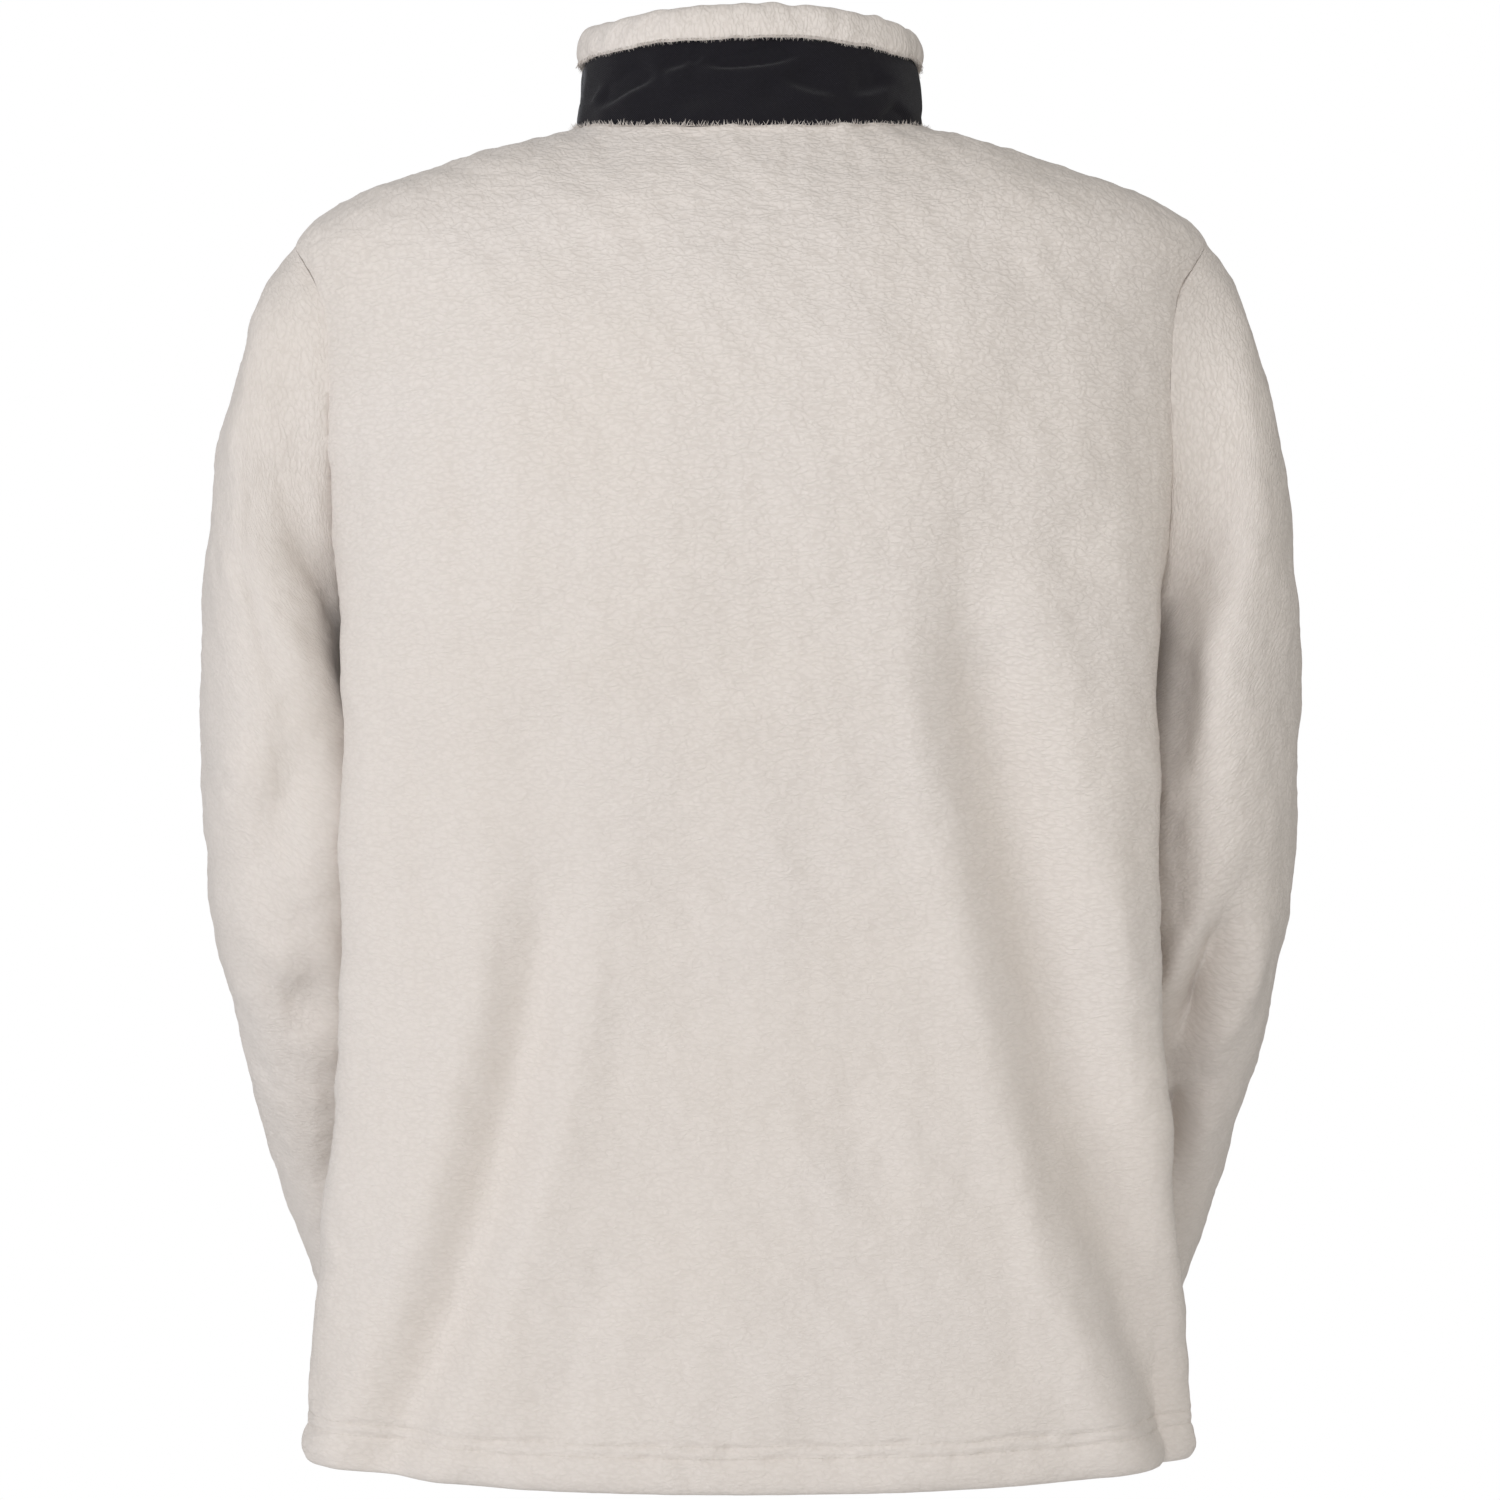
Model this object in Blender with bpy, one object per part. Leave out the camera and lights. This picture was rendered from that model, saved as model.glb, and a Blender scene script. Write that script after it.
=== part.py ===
"""Pile fleece jacket, worn and filled out with no wearer.

Metres, +Z up, front towards -Y, wearer's left at +X.
"""

import math

import bpy
import numpy as np

# Cloth and seams
SEAM_GAP = 0.0003
FLEECE_WALL = 0.005  # base cloth and pile
HEM_WALL = 0.0085  # turned up, so two layers pressed together
WOVEN_WALL = 0.0012
HEM_STITCH = 0.021  # the twin stitch lines' height above the edge
HEM_DEPTH = 0.029  # how far up the turned edge reaches
HEM_PINCH = 0.0016
HEM_ROUND = 0.0022
MITRE_LIMIT = 0.6

# Torso, as rings from the hem to the neck seam
RING_COLUMNS = (
    "side_z", "back_z", "front_z", "half_width", "back_y", "front_y", "wide_y", "arm_dent", "squareness",
)
RINGS = (
    (-0.684, -0.695, -0.690, 0.2275, 0.118, -0.126, 0.050, 0.000, 2.30),  # hem
    (-0.640, -0.650, -0.646, 0.2245, 0.119, -0.126, 0.052, 0.000, 2.30),
    (-0.560, -0.566, -0.563, 0.2175, 0.116, -0.122, 0.058, 0.002, 2.25),
    (-0.460, -0.463, -0.461, 0.2125, 0.110, -0.119, 0.062, 0.010, 2.20),  # waist
    (-0.380, -0.381, -0.380, 0.2125, 0.112, -0.123, 0.064, 0.016, 2.20),
    (-0.310, -0.309, -0.310, 0.2120, 0.120, -0.131, 0.062, 0.016, 2.20),
    (-0.262, -0.256, -0.264, 0.2130, 0.126, -0.134, 0.058, 0.013, 2.20),  # armpit
    (-0.200, -0.192, -0.205, 0.2180, 0.130, -0.131, 0.048, 0.006, 2.15),
    (-0.140, -0.131, -0.151, 0.2240, 0.126, -0.121, 0.032, 0.001, 2.10),
    (-0.095, -0.088, -0.114, 0.2310, 0.115, -0.108, 0.015, 0.000, 2.10),
    (-0.060, -0.062, -0.095, 0.2365, 0.103, -0.098, 0.004, 0.000, 2.10),  # shoulder tip
    (-0.0345, -0.048, -0.086, 0.2050, 0.095, -0.093, 0.003, 0.000, 2.15),
    (-0.0200, -0.034, -0.078, 0.1650, 0.086, -0.089, 0.002, 0.000, 2.20),
    (-0.0080, -0.019, -0.070, 0.1250, 0.074, -0.084, 0.001, 0.000, 2.20),
    (0.0000, -0.004, -0.062, 0.0895, 0.062, -0.079, 0.000, 0.000, 2.20),  # neck seam
)
PIT_LEVEL, TIP_LEVEL, NECK_LEVEL = 6, 10, 14
DENT_Y, DENT_REACH = 0.003, 0.056
SIDE_SEAM_Y = 0.0
ARMHOLE_BACK, ARMHOLE_FRONT, ARMHOLE_FULLNESS = 0.060, 0.064, 0.45
ZIP_SLOT = 0.0085  # from the middle to each front's edge

# Sleeve, as sections from just past the armhole to the cuff: outermost and innermost points
SLEEVE_COLUMNS = ("outer_x", "outer_z", "inner_x", "inner_z", "mid_y", "half_depth", "lean", "belly")
SLEEVE = (
    (0.2500, -0.0780, 0.2050, -0.2665, 0.0000, 0.0655, 0, 0.018),
    (0.2610, -0.1090, 0.2055, -0.2755, -0.001, 0.0705, 0, 0.019),
    (0.2720, -0.1500, 0.2050, -0.2880, -0.002, 0.0740, 0, 0.016),
    (0.2800, -0.1920, 0.2030, -0.3040, -0.003, 0.0760, 0, 0.011),
    (0.2837, -0.2340, 0.2005, -0.3250, -0.004, 0.0765, 0, 0.006),
    (0.2848, -0.2760, 0.1980, -0.3500, -0.006, 0.0760, 2, 0.003),
    (0.2858, -0.3180, 0.1950, -0.3740, -0.010, 0.0745, 5, 0.000),
    (0.2850, -0.3570, 0.1930, -0.3970, -0.017, 0.0725, 9, 0.000),
    (0.2834, -0.3957, 0.1916, -0.4203, -0.028, 0.0695, 15, 0.000),  # elbow
    (0.2789, -0.4306, 0.1881, -0.4434, -0.043, 0.0660, 21, 0.000),
    (0.2727, -0.4627, 0.1843, -0.4673, -0.061, 0.0625, 26, 0.000),
    (0.2655, -0.4940, 0.1795, -0.4940, -0.080, 0.0590, 29, 0.000),
    (0.2580, -0.5245, 0.1746, -0.5215, -0.099, 0.0560, 30, 0.000),
    (0.2504, -0.5550, 0.1696, -0.5490, -0.118, 0.0535, 30, 0.000),
    (0.2427, -0.5845, 0.1645, -0.5775, -0.137, 0.0510, 30, 0.000),
    (0.2354, -0.6120, 0.1596, -0.6040, -0.155, 0.0490, 30, 0.000),
    (0.2268, -0.6448, 0.1538, -0.6362, -0.1765, 0.0470, 30, 0.000),  # cuff
)

# Main folds of the body: a bent line seen from behind or in front, as start, middle and end
FOLD_COLUMNS = ("face", "x0", "z0", "x1", "z1", "x2", "z2", "width", "depth", "start", "end")
BODY_FOLDS = (
    ("back", -0.108, -0.190, -0.106, -0.345, -0.234, -0.690, 0.021, 0.0120, 0.0, 0.8),
    ("back", -0.188, -0.225, -0.150, -0.222, -0.100, -0.190, 0.022, 0.0045, 0.0, 0.0),
    ("back", 0.100, -0.350, 0.108, -0.520, 0.185, -0.680, 0.018, 0.0090, 0.0, 0.9),
    ("back", 0.170, -0.290, 0.165, -0.360, 0.160, -0.440, 0.016, 0.0030, 0.0, 0.0),
    ("back", 0.186, -0.235, 0.155, -0.220, 0.115, -0.200, 0.020, 0.0040, 0.0, 0.0),
    ("front", -0.165, -0.235, -0.120, -0.290, -0.080, -0.390, 0.022, 0.0050, 0.6, 0.0),
    ("front", 0.165, -0.240, 0.125, -0.300, 0.095, -0.420, 0.022, 0.0055, 0.6, 0.0),
    ("front", -0.120, -0.450, -0.135, -0.550, -0.165, -0.660, 0.020, 0.0050, 0.0, 0.7),
    ("front", 0.130, -0.420, 0.120, -0.540, 0.150, -0.660, 0.020, 0.0045, 0.0, 0.7),
)
# Main folds of the sleeves: angle round the arm from its outer side towards the back, and section number
SLEEVE_FOLD_COLUMNS = ("arm", "turn0", "at0", "turn1", "at1", "width", "depth")
SLEEVE_FOLDS = (
    ("left", 128, 4.2, 62, 7.3, 0.015, 0.0050),
    ("left", 120, 8.4, 74, 9.1, 0.013, 0.0050),
    ("left", 112, 11.0, 70, 12.4, 0.015, 0.0035),
    ("left", 292, 7.2, 232, 8.6, 0.014, 0.0065),
    ("left", 304, 9.2, 236, 9.9, 0.013, 0.0065),
    ("left", 286, 11.3, 236, 11.6, 0.013, 0.0040),
    ("right", 100, 1.6, 128, 4.3, 0.016, 0.0055),
    ("right", 126, 5.6, 78, 7.4, 0.015, 0.0045),
    ("right", 124, 9.3, 88, 9.9, 0.013, 0.0045),
    ("right", 296, 7.6, 236, 8.4, 0.014, 0.0065),
    ("right", 290, 9.7, 230, 10.2, 0.013, 0.0060),
    ("right", 300, 12.4, 246, 12.8, 0.013, 0.0035),
)
FOLD_RIDGE = 0.35  # of the depth, beside each trough
FOLD_RIDGE_AWAY, FOLD_RIDGE_WIDTH = 1.9, 0.9  # of the trough's width
FOLD_FADE = 0.35  # share of a fold's length over which each end dies out
FOLD_STEPS = 25
SLEEVE_FOLD_ENDS = 0.15  # strength left at the ends
FOLD_FREE_SIDE = 0.3  # share of a ring's depth over which folds die out towards the sides
ARM_METRES_PER_DEGREE, ARM_METRES_PER_SECTION = 0.0011, 0.034

# Collar: heights of its upper edge along the stand, at the back, the sides and the front
COLLAR_HEIGHT = {"back": 0.0655, "side": 0.0530, "front": 0.0620}
COLLAR_LEAN = 0.16  # forward per metre of height
COLLAR_TAPER = 0.006  # how much nearer the middle its top stands
BAND_DEPTH = 0.019  # how far the fleece rolls down over the woven panel
BAND_COVER = 0.004  # panel hidden under the band
BAND_PROUD = 0.0048
COLLAR_UP = np.array([0.0, -COLLAR_LEAN, 1.0]) / math.hypot(1.0, COLLAR_LEAN)
LAYER_GAP = 1.3 * SEAM_GAP  # between the woven panel and the fleece behind and over it
PANEL_SHARES = (0.3, 0.65, 1.0)  # of the woven panel's height
# The fleece inside the stand and over its top: share of the height, height above that, and depth into
# the stand from the woven panel's outer face (less than none is outside it)
FLEECE_DEPTH = WOVEN_WALL + LAYER_GAP + FLEECE_WALL
BAND_ROLL = (
    (0.35, 0.0, FLEECE_DEPTH),
    (0.70, 0.0, FLEECE_DEPTH),
    (1.0, -0.0080, FLEECE_DEPTH),
    (1.0, -0.0028, FLEECE_DEPTH - 0.0016),
    (1.0, 0.0, 0.0012),
    (1.0, -0.0020, -0.0028),
    (1.0, -0.0065, -BAND_PROUD),
    (1.0, -0.0130, -BAND_PROUD - 0.0004),
    (1.0, -BAND_DEPTH + 0.0008, -0.0036),
    (1.0, -BAND_DEPTH, -0.0014),
    (1.0, -BAND_DEPTH + 0.0008, -LAYER_GAP),
    (1.0, -BAND_DEPTH + BAND_COVER + LAYER_GAP, -LAYER_GAP),
    (1.0, -BAND_DEPTH + BAND_COVER + LAYER_GAP, WOVEN_WALL + LAYER_GAP),
    (0.4, 0.0, WOVEN_WALL + LAYER_GAP),
)

# Mesh rows and columns
BACK_CELLS, BACK_SIDE_CELLS, BACK_SIDE_ANGLE = 24, 5, math.radians(60)
FRONT_CELLS, FRONT_SIDE_CELLS, FRONT_SIDE_ANGLE = 10, 4, math.radians(140)
HEM_ROWS = (0.0, 0.006, 0.014, HEM_STITCH, HEM_DEPTH, 0.045)
BODY_ROWS, ARMHOLE_ROWS, SHOULDER_ROWS = 11, 10, 5
BODY_SEAMS = {  # borders that meet another panel, a sleeve or the collar
    "back": ("last_row", "first_column", "last_column"),
    "left_front": ("last_row", "last_column"),
    "right_front": ("last_row", "first_column"),
}
SLEEVE_ROWS = 17
CUFF_ROWS = (HEM_DEPTH, HEM_STITCH, 0.014, 0.006, 0.0)
CUFF_SLANT = 1.15  # longest of the last section's sides over its outer one
RIM_ORDER = np.array([0.37, 0.21, 1.0])  # any slant that ranks the points of a seam
SLEEVE_ROW_ROOM = 0.2  # sections left clear above the cuff's first row
RING_SAMPLES = 120

# Front zip
TAPE_INNER, TAPE_OUTER, TAPE_THICK = 0.0033, 0.0165, 0.0009
TAPE_GAP = 0.0006
CHAIN_HALF, CHAIN_THICK = 0.0029, 0.0025
ZIP_TOP = 0.006  # below the collar's front edge
ZIP_MIDDLE = 1e-5
COLLAR_ZIP_SHARES = (0.0, 0.25, 0.5, 0.75, 1.0)
HEM_TAPE_ROWS = HEM_ROWS.index(HEM_DEPTH) + 1  # rows where the tape lies behind the turned hem
CHAIN_BEVEL = 0.3  # of its half thickness
CHAIN_END_ROOM = 0.001  # least length of the first and last cells
CHAIN_START = 0.001
BOX_LENGTH, BOX_HALF_THICK = 0.011, 0.0019
SLIDER_LENGTH, SLIDER_HALF, PLATE_THICK, PLATE_PART = 0.0125, 0.0048, 0.0012, 0.0017
SLIDER_NECK_HALF, SLIDER_NECK_LONG, SLIDER_CLEAR = 0.0014, 0.0026, 0.0012
ARCH_HALF, ARCH_INSIDE, ARCH_WALL = 0.0009, 0.0010, 0.0008
TAB_BAR, TAB_HALF, TAB_THICK, TAB_LONG = 0.0007, 0.0034, 0.0012, 0.0240
TAB_EYE_HALF, TAB_EYE_LONG = 0.0014, 0.0036
OVERLAP, SMALL_OVERLAP = 0.0004, 0.0002  # where joined boxes run into each other


def clear_scene():
    for item in list(bpy.data.objects):
        bpy.data.objects.remove(item, do_unlink=True)


def material(name, colour, roughness, metallic=0.0):
    made = bpy.data.materials.new(name)
    made.use_nodes = True
    shader = made.node_tree.nodes["Principled BSDF"]
    shader.inputs["Base Color"].default_value = (*colour, 1.0)
    shader.inputs["Roughness"].default_value = roughness
    shader.inputs["Metallic"].default_value = metallic
    made.diffuse_color = (*colour, 1.0)
    return made


def smooth(rows, level):
    """A smooth curve through the rows, read at fractional row numbers."""
    rows = np.asarray(rows, float)
    slopes = np.gradient(rows, axis=0)
    level = np.asarray(level, float)
    low = np.clip(np.floor(level).astype(int), 0, len(rows) - 2)
    s = (level - low)[..., None]
    return (
        (1 + 2 * s) * (1 - s) ** 2 * rows[low]
        + s * (1 - s) ** 2 * slopes[low]
        + s * s * (3 - 2 * s) * rows[low + 1]
        + s * s * (s - 1) * slopes[low + 1]
    )


def ring(level):
    values = smooth(RINGS, level)
    return {name: values[..., i] for i, name in enumerate(RING_COLUMNS)}


def level_at(side_z):
    """The ring number, from the hem up, whose side point has this height."""
    levels = np.linspace(0, NECK_LEVEL, 1401)
    return float(np.interp(side_z, ring(levels)["side_z"], levels))


def fold_relief(x, z, face):
    """How far the body's folds move its surface outwards, in metres."""
    total = np.zeros(np.shape(x))
    steps = np.linspace(0, 1, FOLD_STEPS)
    for row in BODY_FOLDS:
        fold = dict(zip(FOLD_COLUMNS, row))
        if fold["face"] != face:
            continue
        line_x = (1 - steps) ** 2 * fold["x0"] + 2 * steps * (1 - steps) * fold["x1"] + steps**2 * fold["x2"]
        line_z = (1 - steps) ** 2 * fold["z0"] + 2 * steps * (1 - steps) * fold["z1"] + steps**2 * fold["z2"]
        away = np.hypot(x[..., None] - line_x, z[..., None] - line_z)
        along = steps[away.argmin(axis=-1)]
        total += fold_profile(away.min(axis=-1), fold["width"], fold["depth"]) * fade(
            along, fold["start"], fold["end"]
        )
    return total


def fold_profile(away, width, depth):
    trough = np.exp(-((away / width) ** 2))
    ridge = np.exp(-(((away - FOLD_RIDGE_AWAY * width) / (FOLD_RIDGE_WIDTH * width)) ** 2))
    return depth * (FOLD_RIDGE * ridge - trough)


def fade(along, start, end):
    """Full in the middle, and down to start and end at the two ends."""
    rise = np.clip(along / FOLD_FADE, 0, 1)
    fall = np.clip((1 - along) / FOLD_FADE, 0, 1)
    rise, fall = rise * rise * (3 - 2 * rise), fall * fall * (3 - 2 * fall)
    return (start + (1 - start) * rise) * (end + (1 - end) * fall)


def torso_point(level, angle):
    """Points of the body's outer surface; angle 0 is the middle of the back, +90 degrees the left side."""
    at = ring(level)
    sine, cosine = np.sin(angle), np.cos(angle)
    power = 2 / at["squareness"]
    across = np.sign(sine) * np.abs(sine) ** power
    deep = np.sign(cosine) * np.abs(cosine) ** power
    behind = cosine > 0
    reach = np.where(behind, at["back_y"] - at["wide_y"], at["wide_y"] - at["front_y"])
    x = at["half_width"] * across
    y = at["wide_y"] + reach * deep
    end_z = np.where(behind, at["back_z"], at["front_z"])
    z = at["side_z"] + cosine**2 * (end_z - at["side_z"])
    dent = at["arm_dent"] * np.exp(-(((y - DENT_Y) / DENT_REACH) ** 2))
    x = x - np.sign(x) * across**2 * dent
    relief = np.where(behind, fold_relief(x, z, "back"), fold_relief(x, z, "front"))
    relief = relief * np.clip(np.abs(deep) / FOLD_FREE_SIDE, 0, 1)
    slope_x = np.sign(across) * np.abs(across) ** (at["squareness"] - 1) / at["half_width"]
    slope_y = np.sign(deep) * np.abs(deep) ** (at["squareness"] - 1) / reach
    steep = np.hypot(slope_x, slope_y)
    return np.stack([x + relief * slope_x / steep, y + relief * slope_y / steep, z], axis=-1)


def angle_at_y(level, y):
    """The angle, on the left side, at which a ring has this depth."""
    at = {name: float(value) for name, value in ring(level).items()}
    reach = at["back_y"] - at["wide_y"] if y > at["wide_y"] else at["wide_y"] - at["front_y"]
    cosine = (abs(y - at["wide_y"]) / reach) ** (at["squareness"] / 2)
    return math.acos(math.copysign(min(cosine, 1.0), y - at["wide_y"]))


def angle_at_x(level, x):
    """The angle, at the front, at which a ring is this far from the middle."""
    at = {name: float(value) for name, value in ring(level).items()}
    return math.pi - math.asin((x / at["half_width"]) ** (at["squareness"] / 2))


def body_levels():
    hem_z = RINGS[0][0]
    pit_z, tip_z = RINGS[PIT_LEVEL][0], RINGS[TIP_LEVEL][0]
    levels = [level_at(hem_z + rise) for rise in HEM_ROWS]
    first = hem_z + HEM_ROWS[-1]
    levels += [level_at(first + (pit_z - first) * i / BODY_ROWS) for i in range(1, BODY_ROWS)]
    turns = [math.pi * i / ARMHOLE_ROWS for i in range(ARMHOLE_ROWS)]
    levels += [level_at(pit_z + (tip_z - pit_z) * (1 - math.cos(turn)) / 2) for turn in turns]
    step = (NECK_LEVEL - TIP_LEVEL) / SHOULDER_ROWS
    return levels + [TIP_LEVEL + step * i for i in range(SHOULDER_ROWS + 1)]


def edge_angles(level):
    """(back panel's, front panel's) side edge at this level, as angles on the left side."""
    if level >= TIP_LEVEL:
        seam = angle_at_y(level, float(ring(level)["wide_y"]))
        return seam, seam
    pit_z, tip_z = RINGS[PIT_LEVEL][0], RINGS[TIP_LEVEL][0]
    rise = (float(ring(level)["side_z"]) - pit_z) / (tip_z - pit_z)
    if rise <= 1e-6:
        seam = angle_at_y(level, SIDE_SEAM_Y)
        return seam, seam
    middle = SIDE_SEAM_Y + rise * (RINGS[TIP_LEVEL][6] - SIDE_SEAM_Y)
    half = (4 * rise * (1 - rise)) ** ARMHOLE_FULLNESS
    return (
        angle_at_y(level, middle + ARMHOLE_BACK * half),
        angle_at_y(level, middle - ARMHOLE_FRONT * half),
    )


def even_angles(level, start, end, cells):
    """Angles whose points are evenly spaced along one ring."""
    fine = np.linspace(start, end, RING_SAMPLES)
    points = torso_point(np.full(len(fine), level), fine)
    run = np.concatenate([[0], np.cumsum(np.linalg.norm(np.diff(points, axis=0), axis=1))])
    angles = np.interp(np.linspace(0, run[-1], cells + 1), run, fine)
    angles[0], angles[-1] = start, end
    return angles


def strip(level, stops, cells):
    """Points along one ring through these angles, with so many cells between each two of them."""
    angles = [np.array(stops[:1])]
    for start, end, count in zip(stops, stops[1:], cells):
        angles.append(even_angles(level, start, end, count)[1:])
    angles = np.concatenate(angles)
    return torso_point(np.full(len(angles), level), angles)


def body_grids():
    """The outer points of the back and the two fronts: rows from the hem up, columns as seen from outside."""
    back, left, right = [], [], []
    for level in body_levels():
        back_edge, front_edge = edge_angles(level)
        middle = angle_at_x(level, ZIP_SLOT)
        turn = BACK_SIDE_ANGLE
        cells = (BACK_SIDE_CELLS, BACK_CELLS - 2 * BACK_SIDE_CELLS, BACK_SIDE_CELLS)
        back.append(strip(level, (back_edge, turn, -turn, -back_edge), cells))
        turn = FRONT_SIDE_ANGLE
        cells = (FRONT_CELLS - FRONT_SIDE_CELLS, FRONT_SIDE_CELLS)
        left.append(strip(level, (middle, turn, front_edge), cells))
        right.append(strip(level, (-front_edge, -turn, -middle), cells[::-1]))
    return {"back": np.array(back), "left_front": np.array(left), "right_front": np.array(right)}


def armhole_rows():
    first = len(HEM_ROWS) + BODY_ROWS - 1
    return list(range(first, first + ARMHOLE_ROWS + 1))


def armhole_ring(back, front):
    """The left armhole's points: from the shoulder tip down the front edge, then up the back edge."""
    rows = armhole_rows()
    down = [front[row, -1] for row in reversed(rows)]
    up = [back[row, 0] for row in rows[1:-1]]
    return np.array(down + up)


def sleeve_relief(arm, turn, at):
    total = np.zeros(np.shape(turn))
    steps = np.linspace(0, 1, FOLD_STEPS)
    for row in SLEEVE_FOLDS:
        fold = dict(zip(SLEEVE_FOLD_COLUMNS, row))
        if fold["arm"] != arm:
            continue
        line_turn = fold["turn0"] + steps * (fold["turn1"] - fold["turn0"])
        line_at = fold["at0"] + steps * (fold["at1"] - fold["at0"])
        aside = (turn[..., None] - line_turn) * ARM_METRES_PER_DEGREE
        along = (at[..., None] - line_at) * ARM_METRES_PER_SECTION
        away = np.hypot(aside, along)
        place = steps[away.argmin(axis=-1)]
        shape = fold_profile(away.min(axis=-1), fold["width"], fold["depth"])
        total += shape * fade(place, SLEEVE_FOLD_ENDS, SLEEVE_FOLD_ENDS)
    return total


def sleeve_grid(arm, armhole):
    """A sleeve's outer points, as for the left arm: rows from the armhole down, columns round the arm."""
    columns = len(armhole)
    turn = -360.0 * np.arange(columns) / columns
    rows = [armhole]
    last = len(SLEEVE) - 1
    cuff_length = np.linalg.norm(np.subtract(SLEEVE[-1][:2], SLEEVE[-2][:2])) * CUFF_SLANT
    levels = [last * i / (SLEEVE_ROWS - 1) for i in range(SLEEVE_ROWS - 1)]
    cuff_top = last - CUFF_ROWS[0] / cuff_length
    levels = [level for level in levels if level < cuff_top - SLEEVE_ROW_ROOM]
    levels += [last - rise / cuff_length for rise in CUFF_ROWS]
    for level in levels:
        at = dict(zip(SLEEVE_COLUMNS, smooth(SLEEVE, level)))
        out = np.array([at["outer_x"] - at["inner_x"], 0, at["outer_z"] - at["inner_z"]]) / 2
        centre = np.array([at["outer_x"] + at["inner_x"], 2 * at["mid_y"], at["outer_z"] + at["inner_z"]]) / 2
        lean = math.radians(at["lean"])
        back = at["half_depth"] * np.array([0, math.cos(lean), -math.sin(lean)])
        onward = np.array([out[2], 0, -out[0]]) / np.linalg.norm(out)
        angle = np.radians(turn)
        relief = sleeve_relief(arm, turn % 360, np.full(columns, level))
        size = 1 + relief / np.hypot(np.linalg.norm(out) * np.cos(angle), at["half_depth"] * np.sin(angle))
        points = (
            centre
            + np.outer(size * np.cos(angle), out)
            + np.outer(size * np.sin(angle), back)
            + np.outer(at["belly"] * np.sin(angle) ** 2, onward)
        )
        rows.append(points)
    return np.array(rows)


def mirrored(grid):
    """The grid on the other side of the body, with its faces still outwards."""
    return grid[:, ::-1] * np.array([-1.0, 1.0, 1.0])


def ring_closed(grid):
    return np.concatenate([grid, grid[:, :1]], axis=1)


def face_normals(grid):
    """The unit normal of each cell of a grid."""
    a = grid[1:, 1:] - grid[:-1, :-1]
    b = grid[1:, :-1] - grid[:-1, 1:]
    cross = np.cross(a, b)
    return cross / np.maximum(np.linalg.norm(cross, axis=-1, keepdims=True), 1e-12)


def key(point):
    return tuple(np.round(point * 1e5).astype(int))


def shared_normals(grids):
    """Each point's outward direction, averaged over every cell that meets there, also across seams."""
    sums = {}
    for grid in grids:
        cells = face_normals(grid)
        for r in range(cells.shape[0]):
            for c in range(cells.shape[1]):
                for point in (grid[r, c], grid[r, c + 1], grid[r + 1, c + 1], grid[r + 1, c]):
                    sums.setdefault(key(point), []).append(cells[r, c])
    result = {}
    for place, found in sums.items():
        mean = np.sum(found, axis=0)
        mean /= np.linalg.norm(mean)
        slant = float(np.mean([mean @ cell for cell in found]))
        result[place] = mean / max(slant, MITRE_LIMIT)
    return result


def inner_grid(grid, walls, normals):
    inner = np.empty_like(grid)
    for r in range(grid.shape[0]):
        for c in range(grid.shape[1]):
            inner[r, c] = grid[r, c] - walls[r] * normals[key(grid[r, c])]
    return inner


def edge_shift(border, inside, amount):
    """A move away from a seam: across the border, towards the next row."""
    along = np.gradient(border, axis=0)
    along /= np.linalg.norm(along, axis=1, keepdims=True)
    across = inside - border
    across -= np.sum(across * along, axis=1, keepdims=True) * along
    return amount * across / np.linalg.norm(across, axis=1, keepdims=True)


def parted(outer, inner, sides):
    """Both layers with the named borders moved off their seams by half the gap."""
    shift = np.zeros_like(outer)
    half = 0.6 * SEAM_GAP
    if "first_row" in sides:
        shift[0] += edge_shift(outer[0], outer[1], half)
    if "last_row" in sides:
        shift[-1] += edge_shift(outer[-1], outer[-2], half)
    if "first_column" in sides:
        shift[:, 0] += edge_shift(outer[:, 0], outer[:, 1], half)
    if "last_column" in sides:
        shift[:, -1] += edge_shift(outer[:, -1], outer[:, -2], half)
    return outer + shift, inner + shift


def seam_rank(point):
    """Ranks the points of a seam in one order, seen from either side of it."""
    return abs(point[0]) * RIM_ORDER[0] + point[1:] @ RIM_ORDER[1:]


def rim(a, b, c, d, points):
    """Two triangles over a wall's edge, from a, b outside to d, c inside."""
    if seam_rank(points[a]) > seam_rank(points[b]):
        return [(a, b, c), (a, c, d)]
    return [(a, b, d), (b, c, d)]


def wall_object(name, outer, inner, skin, round_wall=False):
    """A closed wall between two grids; a round wall's columns meet."""
    rows, columns = outer.shape[:2]
    points = np.concatenate([outer.reshape(-1, 3), inner.reshape(-1, 3)])
    offset = rows * columns

    def at(r, c):
        return r * columns + c % columns

    cells = columns if round_wall else columns - 1
    faces = []
    for r in range(rows - 1):
        for c in range(cells):
            quad = [at(r, c), at(r, c + 1), at(r + 1, c + 1), at(r + 1, c)]
            on_left = points[quad, 0].sum() > 0
            for split in ((0, 1, 2), (0, 2, 3)) if on_left else ((0, 1, 3), (1, 2, 3)):
                faces.append(tuple(quad[i] for i in split))
                faces.append(tuple(quad[i] + offset for i in reversed(split)))
    for c in range(cells):
        faces += rim(at(0, c + 1), at(0, c), at(0, c) + offset, at(0, c + 1) + offset, points)
        end = rows - 1
        faces += rim(at(end, c), at(end, c + 1), at(end, c + 1) + offset, at(end, c) + offset, points)
    if not round_wall:
        for r in range(rows - 1):
            faces += rim(at(r, 0), at(r + 1, 0), at(r + 1, 0) + offset, at(r, 0) + offset, points)
            end = columns - 1
            faces += rim(at(r + 1, end), at(r, end), at(r, end) + offset, at(r + 1, end) + offset, points)
    return mesh_object(name, points, faces, skin)


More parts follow.
